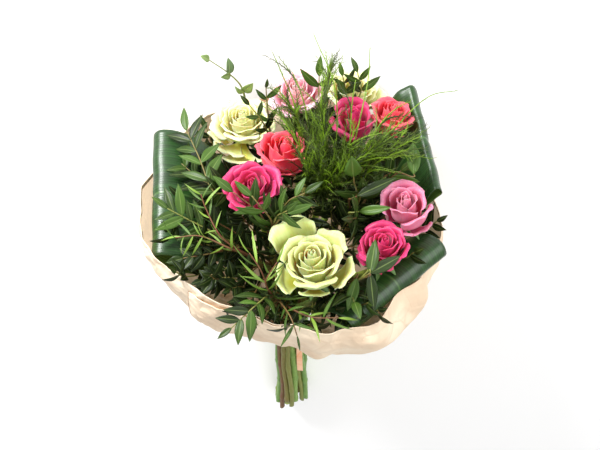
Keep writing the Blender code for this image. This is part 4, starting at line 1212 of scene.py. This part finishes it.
class BouquetSizes(bpy.types.PropertyGroup):
    """How full and how crumpled the bunch is"""

    petal_roll: length_property(
        "Petal roll", "How far the outer petals' rims roll back", PETAL_ROLL, 0.0, 0.008
    )
    petal_thickness: length_property("Petal thickness", "Thickness of a petal", 0.0003, 0.0001, 0.001)
    leaf_thickness: length_property("Leaf thickness", "Thickness of a leaf blade", 0.00025, 0.0001, 0.001)
    paper_thickness: length_property("Paper thickness", "Thickness of the kraft paper", 0.0003, 0.0001, 0.001)
    crumpling: bpy.props.FloatProperty(
        name="Crumpling", description="How strongly the paper is crumpled",
        default=1.0, min=0.0, max=2.0, subtype="FACTOR",
    )
    filler_twigs: bpy.props.IntProperty(
        name="Filler twigs", description="Leafy twigs that fill the bunch between the roses",
        default=54, min=0, max=120,
    )


def colour_property(name, description, colour):
    """A colour that a user can set, in linear light."""
    return bpy.props.FloatVectorProperty(
        name=name, description=description, default=tint(*colour), size=3, min=0, max=1, subtype="COLOR",
    )


class BouquetColours(bpy.types.PropertyGroup):
    """The bunch's main colours"""

    cream: colour_property("Cream", "Body of the cream petals", (244, 242, 192))
    coral: colour_property("Coral", "Body of the coral petals", (252, 66, 96))
    hot_pink: colour_property("Hot pink", "Body of the hot pink petals", (210, 6, 94))
    pale_pink: colour_property("Pale pink", "Body of the pale pink petals", (252, 204, 208))
    mauve: colour_property("Mauve", "Body of the mauve pink petals", (216, 110, 144))
    kraft: colour_property("Kraft paper", "The paper's lighter tone", (243, 225, 199))
    mastic: colour_property("Mastic leaf", "The leaflets' lighter tone", (68, 98, 32))
    fern: colour_property("Fern", "The needles' lighter tone", (128, 166, 28))
    broad_leaf: colour_property("Broad leaf", "The folded leaves' lighter tone", (40, 80, 28))


def darker(colour, share):
    """A colour times a share."""
    return tuple(c * share for c in colour)


def mixed(first, second, share):
    """The way from one colour to another."""
    return tuple(a + (b - a) * share for a, b in zip(first, second))


# One operator for each piece or group of like pieces


class BOUQUET_OT_paper_wrap(bpy.types.Operator):
    """The kraft paper wrap, gathered at the waist, with its rim turned over"""

    bl_idname = "bouquet.paper_wrap"
    bl_label = "Paper wrap"

    def execute(self, context):
        sizes, colours = context.scene.bouquet_sizes, context.scene.bouquet_colours
        light = tuple(colours.kraft)
        dark = mixed(light, tint(204, 164, 126), 0.45)
        # The third colour is the line of painted shade along the sheet's first edge
        kraft = material("kraft paper", "paper", (dark, light, tint(134, 88, 56)), 0.85, 0.5, 0.0008)
        # Painted light: the inside lining glows, brightest near the rim and on the left side, for light that
        # comes through the paper onto its inner face
        painted_glow = mixed(light, tint(214, 160, 110), 0.2)
        inside = material(
            "kraft paper inside painted glow", "paper", (dark, light, dark), 0.85, 0.5, 0.0008,
            emission_color=(*painted_glow, 1.0),
        )
        tree = inside.node_tree
        along = shape_coordinates(tree)[2]
        left = node(tree, "SeparateXYZ", {0: node(tree, "TexCoord").outputs["Object"]}).outputs[0]
        left_painted_light = times(tree, ramp(tree, left, 0.12, 0.15), ramp(tree, along, 0.25, 0.75))
        lit = sums(tree, "MAXIMUM", times(tree, ramp(tree, along, 0.6, 0.98), 0.35),
                   times(tree, left_painted_light, 0.85))
        tree.links.new(lit, tree.nodes["Principled BSDF"].inputs["Emission Strength"])
        patches = Patches()
        patches.add(wrap_grid(sizes.crumpling))
        thick = sizes.paper_thickness * 1000
        add_piece("kraft_wrap", patches, [kraft, inside], ["paper_wrap"], thick, lining=1)
        return {"FINISHED"}


class BOUQUET_OT_tie(bpy.types.Operator):
    """The flat strip round the wrap's neck, with one loose tail"""

    bl_idname = "bouquet.tie"
    bl_label = "Tie"

    def execute(self, context):
        peach = tint(226, 146, 92), tint(244, 196, 158), tint(226, 146, 92)
        strip = material("peach strip", "paper", peach, 0.6, 0.2, 0.0005)
        patches = Patches()
        v, u = np.meshgrid(np.linspace(0, 1, 9), np.linspace(0, 2 * math.pi, 97), indexing="ij")
        r = NECK + 1.2 + 0.25 * np.sin(5 * u) * v + 0.5 * np.sin(math.pi * v)
        z = TIE_LOW + (TIE_HIGH - TIE_LOW) * v + 0.3 * np.sin(2 * u)
        patches.add(np.stack([r * np.cos(u), r * np.sin(u), z], -1), 0.4)
        v, u = np.meshgrid(np.linspace(0, 1, 41), np.linspace(-1, 1, 9), indexing="ij")
        front = math.sqrt((NECK + 1.6) ** 2 - TAIL_X**2)
        x = TAIL_X + u * TAIL_WIDE / 2 + 0.8 * np.sin(3.4 * v)
        y = front + 1.6 * np.sin(math.pi * v) + 0.5 * np.sin(9 * v) + 0.6 * v * u
        z = TIE_LOW + 3 - (TIE_LOW + 3 - TAIL_LOW) * v + 1.6 * u * v
        patches.add(np.stack([x, y, z], -1), 0.6)
        add_piece("tie_strip", patches, [strip], ["tie"], 0.4)
        return {"FINISHED"}


class BOUQUET_OT_roses(bpy.types.Operator):
    """Ten roses, each a spiral of petals round its own axis"""

    bl_idname = "bouquet.roses"
    bl_label = "Roses"

    def execute(self, context):
        sizes, chosen = context.scene.bouquet_sizes, context.scene.bouquet_colours
        cream, coral, hot = tuple(chosen.cream), tuple(chosen.coral), tuple(chosen.hot_pink)
        pale, mauve = tuple(chosen.pale_pink), tuple(chosen.mauve)
        # The colours of each kind: name, heart, body, rim, and a deep colour that is painted shade for the
        # folds on the petals' face side
        petals = {
            "cream": ("petal_cream", tint(222, 226, 140), cream, tint(252, 252, 232), tint(224, 216, 96)),
            "cream_green": (
                "petal_cream", tint(148, 168, 60), mixed(cream, tint(190, 202, 96), 0.75),
                tint(246, 248, 216), tint(156, 152, 10),
            ),
            "coral": ("petal_coral", tint(232, 44, 68), coral, tint(252, 136, 142), tint(200, 6, 40)),
            "hot_pink": (
                "petal_hot_pink", tint(192, 16, 88), mixed(hot, tint(246, 130, 186), 0.1), tint(222, 52, 118),
                tint(160, 0, 58),
            ),
            "pale_pink": (
                "petal_pale_pink", tint(252, 196, 184), pale, tint(254, 230, 230), tint(246, 140, 184)
            ),
            "mauve": ("petal_mauve", tint(204, 110, 136), mauve, tint(244, 184, 204), tint(186, 26, 90)),
        }
        made = {}
        for kind, (_, base, body, rim, painted_fold_shade) in petals.items():
            soft = {"sheen_weight": 0.15, "subsurface_weight": 0.25, "subsurface_scale": 0.004}
            # The face side is a darker copy, painted shade of the bloom's folds: its heart takes the deep
            # colour and its body is darkened towards it
            face = (painted_fold_shade, mixed(body, painted_fold_shade, 0.35), mixed(body, rim, 0.4))
            made[kind] = [
                material(f"{kind} petal {side}", "petal", colours, 0.5, 0.25, 0.0006, **soft)
                for side, colours in (("back", (base, body, rim)), ("face", face))
            ]
        for k, (name, row) in enumerate(ROSES.items()):
            patches = rose_petals(name, PETAL_TURN * k, sizes.petal_roll / PETAL_ROLL)
            thick = sizes.petal_thickness * 1000
            add_piece(name + "_petals", patches, made[row[2]], [name], thick, lining=1)
        return {"FINISHED"}


class BOUQUET_OT_rose_stems(bpy.types.Operator):
    """The roses' stems, each with its calyx and sepals"""

    bl_idname = "bouquet.rose_stems"
    bl_label = "Rose stems"

    def execute(self, context):
        pairs = (
            ((104, 136, 30), (182, 202, 88)), ((72, 114, 40), (162, 192, 98)), ((70, 44, 44), (140, 106, 100))
        )
        barks = [
            material(f"rose cane {k}", "stem", tints(dark, light, (96, 66, 48)), 0.5, 0.3, 0.0004)
            for k, (dark, light) in enumerate(pairs)
        ]
        greens = tints((48, 84, 36), (104, 140, 66), (140, 166, 96))
        sepal = material("sepal", "blade", greens, 0.5, 0.2, 0.0003)
        for k, name in enumerate(ROSES):
            patches = Patches()
            patches.add(stem_tube(name, ROSE_TAPER)[1], 0.2 + 0.6 * (k * 0.37 % 1), 0)
            cup, sepals = calyx_grids(name)
            patches.add(cup, 0.4, 1)
            patches.add(sepals, 0.4, 1)
            bark = barks[2] if name == "rose_coral_centre" else barks[k % 2]
            add_piece(name + "_cane", patches, [bark, sepal], [name + "_stem"])
        return {"FINISHED"}


class BOUQUET_OT_broad_leaves(bpy.types.Operator):
    """Three broad leaves folded over at the bunch's edge, on their petioles"""

    bl_idname = "bouquet.broad_leaves"
    bl_label = "Broad leaves"

    def execute(self, context):
        light = tuple(context.scene.bouquet_colours.broad_leaf)
        colours = (darker(light, 0.34), light, tint(96, 132, 70))
        under = (mixed(light, tint(96, 130, 50), 0.5), tint(116, 150, 70), tint(130, 160, 90))
        coat = {"coat_weight": 0.2, "coat_roughness": 0.3}
        leaf = material("broad leaf", "broad_leaf", colours, 0.34, 0.35, 0.0006, **coat)
        back = material("broad leaf underside", "broad_leaf", under, 0.5, 0.35, 0.0006)
        greens = tints((62, 104, 44), (132, 170, 84), (70, 90, 48))
        stalk = material("petiole", "stem", greens, 0.45, 0.2, 0.0003)
        for name in ASPIDISTRA:
            patches = Patches()
            patches.add(broad_leaf_grid(name), 0.5, 0)
            patches.add(stem_tube(name, STEM_TAPER)[1], 0.5, 2)
            materials = [leaf, back, stalk, stalk]
            add_piece(name + "_blade", patches, materials, [name], 0.45, lining=1)
        return {"FINISHED"}


class BOUQUET_OT_sprigs(bpy.types.Operator):
    """Leafy sprigs, with filler twigs from their stems into the gaps between the roses"""

    bl_idname = "bouquet.sprigs"
    bl_label = "Leafy sprigs"

    def execute(self, context):
        light = tuple(context.scene.bouquet_colours.mastic)
        twig = material("twig", "stem", tints((104, 52, 36), (126, 134, 62), (90, 50, 40)), 0.55, 0.3, 0.0003)
        # The dark end is near black: the colour of painted shade on leaves deep in the bunch
        green = (darker(light, 0.07), light, tint(136, 156, 88))
        leaves = {
            "mastic": material("mastic leaf", "blade", green, 0.42, 0.3, 0.0004, specular_ior_level=0.3),
            "young": material(
                "young leaf", "blade", tints((50, 84, 24), (122, 154, 50), (152, 172, 90)), 0.45, 0.3, 0.0004
            ),
            "sprig": material(
                "round leaf", "blade", tints((58, 92, 52), (132, 156, 84), (180, 190, 120)), 0.5, 0.3, 0.0004
            ),
        }
        sizes = context.scene.bouquet_sizes
        solids = solid_trees(sizes.petal_roll / PETAL_ROLL, sizes.crumpling)
        filler = filler_twigs(sizes.filler_twigs)
        thick = sizes.leaf_thickness * 1000
        radius = SPRIG_STEM * STEM_TAPER * 0.9
        for k, (name, (_, size, kind, branches)) in enumerate(SPRIGS.items()):
            rng = np.random.default_rng(SEED + k)
            patches = Patches()
            line, tube = stem_tube(name, STEM_TAPER, 12)
            patches.add(tube, rng.uniform(0, 1), 1)
            for way, pairs, *own in branches:
                leaf, look = own or (size, kind)
                leafy_twig(patches, line[-2:], way, pairs, leaf, radius, look, rng, solids)
            for start, way in filler.get(name, ()):
                # Filler leaves take low tones: painted shade inside the bunch
                leafy_twig(patches, start, way, *FILLER_TWIG, kind, rng, solids, FILLER_SHADE_TONE)
            materials = [leaves[kind], twig, leaves["young"]]
            add_piece(name + "_sprig", patches, materials, [name], thick)
        return {"FINISHED"}


def filler_twigs(count):
    """Twigs for the gaps: targets at the golden angle over the bunch's dome, 362 - 0.0013 r^2 high, each
    joined to the leafy stem that passes nearest below it."""
    hosts = [name for name, row in SPRIGS.items() if row[2] == "mastic"]
    lines = {name: stem_line(ROUTES[name][1], 6.0) for name in hosts}
    found = {}
    k = np.arange(count)
    r = FILLER_REACH * np.sqrt((k + 0.5) / count)
    turn = GOLDEN_ANGLE * k
    targets = np.stack([-5 + r * np.cos(turn), 14 + r * np.sin(turn), FILLER_TOP - FILLER_FALL * r * r], -1)
    for target in np.vstack([targets, GAP_TARGETS]):
        gaps = {
            name: np.linalg.norm(line[int(len(line) * HOST_SHARE)] - target) for name, line in lines.items()
        }
        name = min(gaps, key=gaps.get)
        line = lines[name]
        i = int(len(line) * HOST_SHARE)
        middle = 0.5 * (line[i] + target) + np.array([0, 0, 8.0])
        tip = target + np.array([0.12, 0.12, 0.0]) * target + (0, 0, 22)
        if not hides_head(np.array([[target, tip]]), 30.0)[0]:
            found.setdefault(name, []).append((line[i - 1:i + 1], (middle, target, tip)))
    return found


class BOUQUET_OT_fern(bpy.types.Operator):
    """Feathery fern: arching fronds with fine needles"""

    bl_idname = "bouquet.fern"
    bl_label = "Fern"

    def execute(self, context):
        light = tuple(context.scene.bouquet_colours.fern)
        # The dark end is near black: the colour of painted shade on strands deep in the bunch
        colours = (darker(light, 0.045), light, mixed(light, tint(190, 210, 90), 0.4))
        needles = material("fern needle", "blade", colours, 0.5, 0.0, 0.0001)
        for k, (name, (_, fronds)) in enumerate(FERNS.items()):
            rng = np.random.default_rng(SEED + FERN_SEED + k)
            patches = Patches()
            line, tube = stem_tube(name, STEM_TAPER, 10)
            patches.add(tube, 0.6, 0)
            for way, fullness in fronds:
                frond(patches, line[-2:], way, fullness, rng)
            add_piece(name + "_plume", patches, [needles], [name])
        return {"FINISHED"}


class BOUQUET_OT_stage(bpy.types.Operator):
    """The pale floor, the soft lights and the camera"""

    bl_idname = "bouquet.stage"
    bl_label = "Stage"

    def execute(self, context):
        scene = context.scene
        bpy.ops.mesh.primitive_plane_add(size=8, location=(0, 0, -0.0008))
        floor = context.object
        floor.name = "floor"
        paint = bpy.data.materials.new("pale floor")
        paint.use_nodes = True
        surface = paint.node_tree.nodes["Principled BSDF"]
        surface.inputs["Base Color"].default_value = (0.94, 0.94, 0.94, 1)
        surface.inputs["Roughness"].default_value = 0.9
        floor.data.materials.append(paint)
        toward, up = (unit(laid(way) - laid((0, 0, 0))) for way in (CAMERA_TOWARD, CAMERA_UP))
        aim = laid(CAMERA_AIM)
        right = np.cross(up, toward)
        camera = bpy.data.objects.new("camera", bpy.data.cameras.new("camera"))
        scene.collection.objects.link(camera)
        camera.data.lens = CAMERA_LENS
        camera.data.sensor_width = CAMERA_SENSOR
        turned = Matrix(np.stack([right, up, toward], 1).tolist()).to_4x4()
        camera.matrix_world = Matrix.Translation(Vector(aim + CAMERA_AWAY * toward)) @ turned
        scene.camera = camera
        lights = (
            ("key", 0.9 * up - 0.9 * right + 1.3 * toward, 0.6, 52),
            ("fill", 0.3 * up + 1.2 * right + 1.2 * toward, 1.4, 18),
            ("low", -1.1 * up + 0.2 * right + 1.1 * toward, 1.2, 8),
        )
        for name, offset, size, power in lights:
            lamp = bpy.data.objects.new(name, bpy.data.lights.new(name, "AREA"))
            lamp.data.size = size
            lamp.data.energy = power
            scene.collection.objects.link(lamp)
            lamp.location = Vector(aim + offset)
            lamp.rotation_mode = "QUATERNION"
            lamp.rotation_quaternion = Vector(-offset).to_track_quat("-Z", "Y")
        scene.world = bpy.data.worlds.new("studio")
        scene.world.use_nodes = True
        sky = scene.world.node_tree.nodes["Background"]
        sky.inputs[0].default_value = (1, 1, 1, 1)
        sky.inputs[1].default_value = SKY_LIGHT
        scene.view_settings.view_transform = "Standard"
        return {"FINISHED"}


class BOUQUET_PT_panel(bpy.types.Panel):
    """The bunch's settings and its pieces"""

    bl_label = "Bouquet"
    bl_idname = "BOUQUET_PT_panel"
    bl_space_type = "VIEW_3D"
    bl_region_type = "UI"
    bl_category = "Bouquet"

    def draw(self, context):
        for group in (context.scene.bouquet_sizes, context.scene.bouquet_colours):
            for key in group.__annotations__:
                self.layout.prop(group, key)
        for operator in OPERATORS:
            self.layout.operator(operator.bl_idname)


OPERATORS = (
    BOUQUET_OT_paper_wrap,
    BOUQUET_OT_tie,
    BOUQUET_OT_roses,
    BOUQUET_OT_rose_stems,
    BOUQUET_OT_broad_leaves,
    BOUQUET_OT_sprigs,
    BOUQUET_OT_fern,
    BOUQUET_OT_stage,
)
CLASSES = (BouquetSizes, BouquetColours, *OPERATORS, BOUQUET_PT_panel)


def register():
    """Registers the classes and the scene's settings."""
    for cls in CLASSES:
        bpy.utils.register_class(cls)
    bpy.types.Scene.bouquet_sizes = bpy.props.PointerProperty(type=BouquetSizes)
    bpy.types.Scene.bouquet_colours = bpy.props.PointerProperty(type=BouquetColours)


def unregister():
    """Takes the settings and the classes away again."""
    del bpy.types.Scene.bouquet_sizes
    del bpy.types.Scene.bouquet_colours
    for cls in reversed(CLASSES):
        bpy.utils.unregister_class(cls)


def main():
    """Makes every piece in order."""
    register()
    bpy.ops.bouquet.paper_wrap()
    bpy.ops.bouquet.tie()
    bpy.ops.bouquet.roses()
    bpy.ops.bouquet.rose_stems()
    bpy.ops.bouquet.broad_leaves()
    bpy.ops.bouquet.sprigs()
    bpy.ops.bouquet.fern()
    bpy.ops.bouquet.stage()


if __name__ == "__main__":
    main()
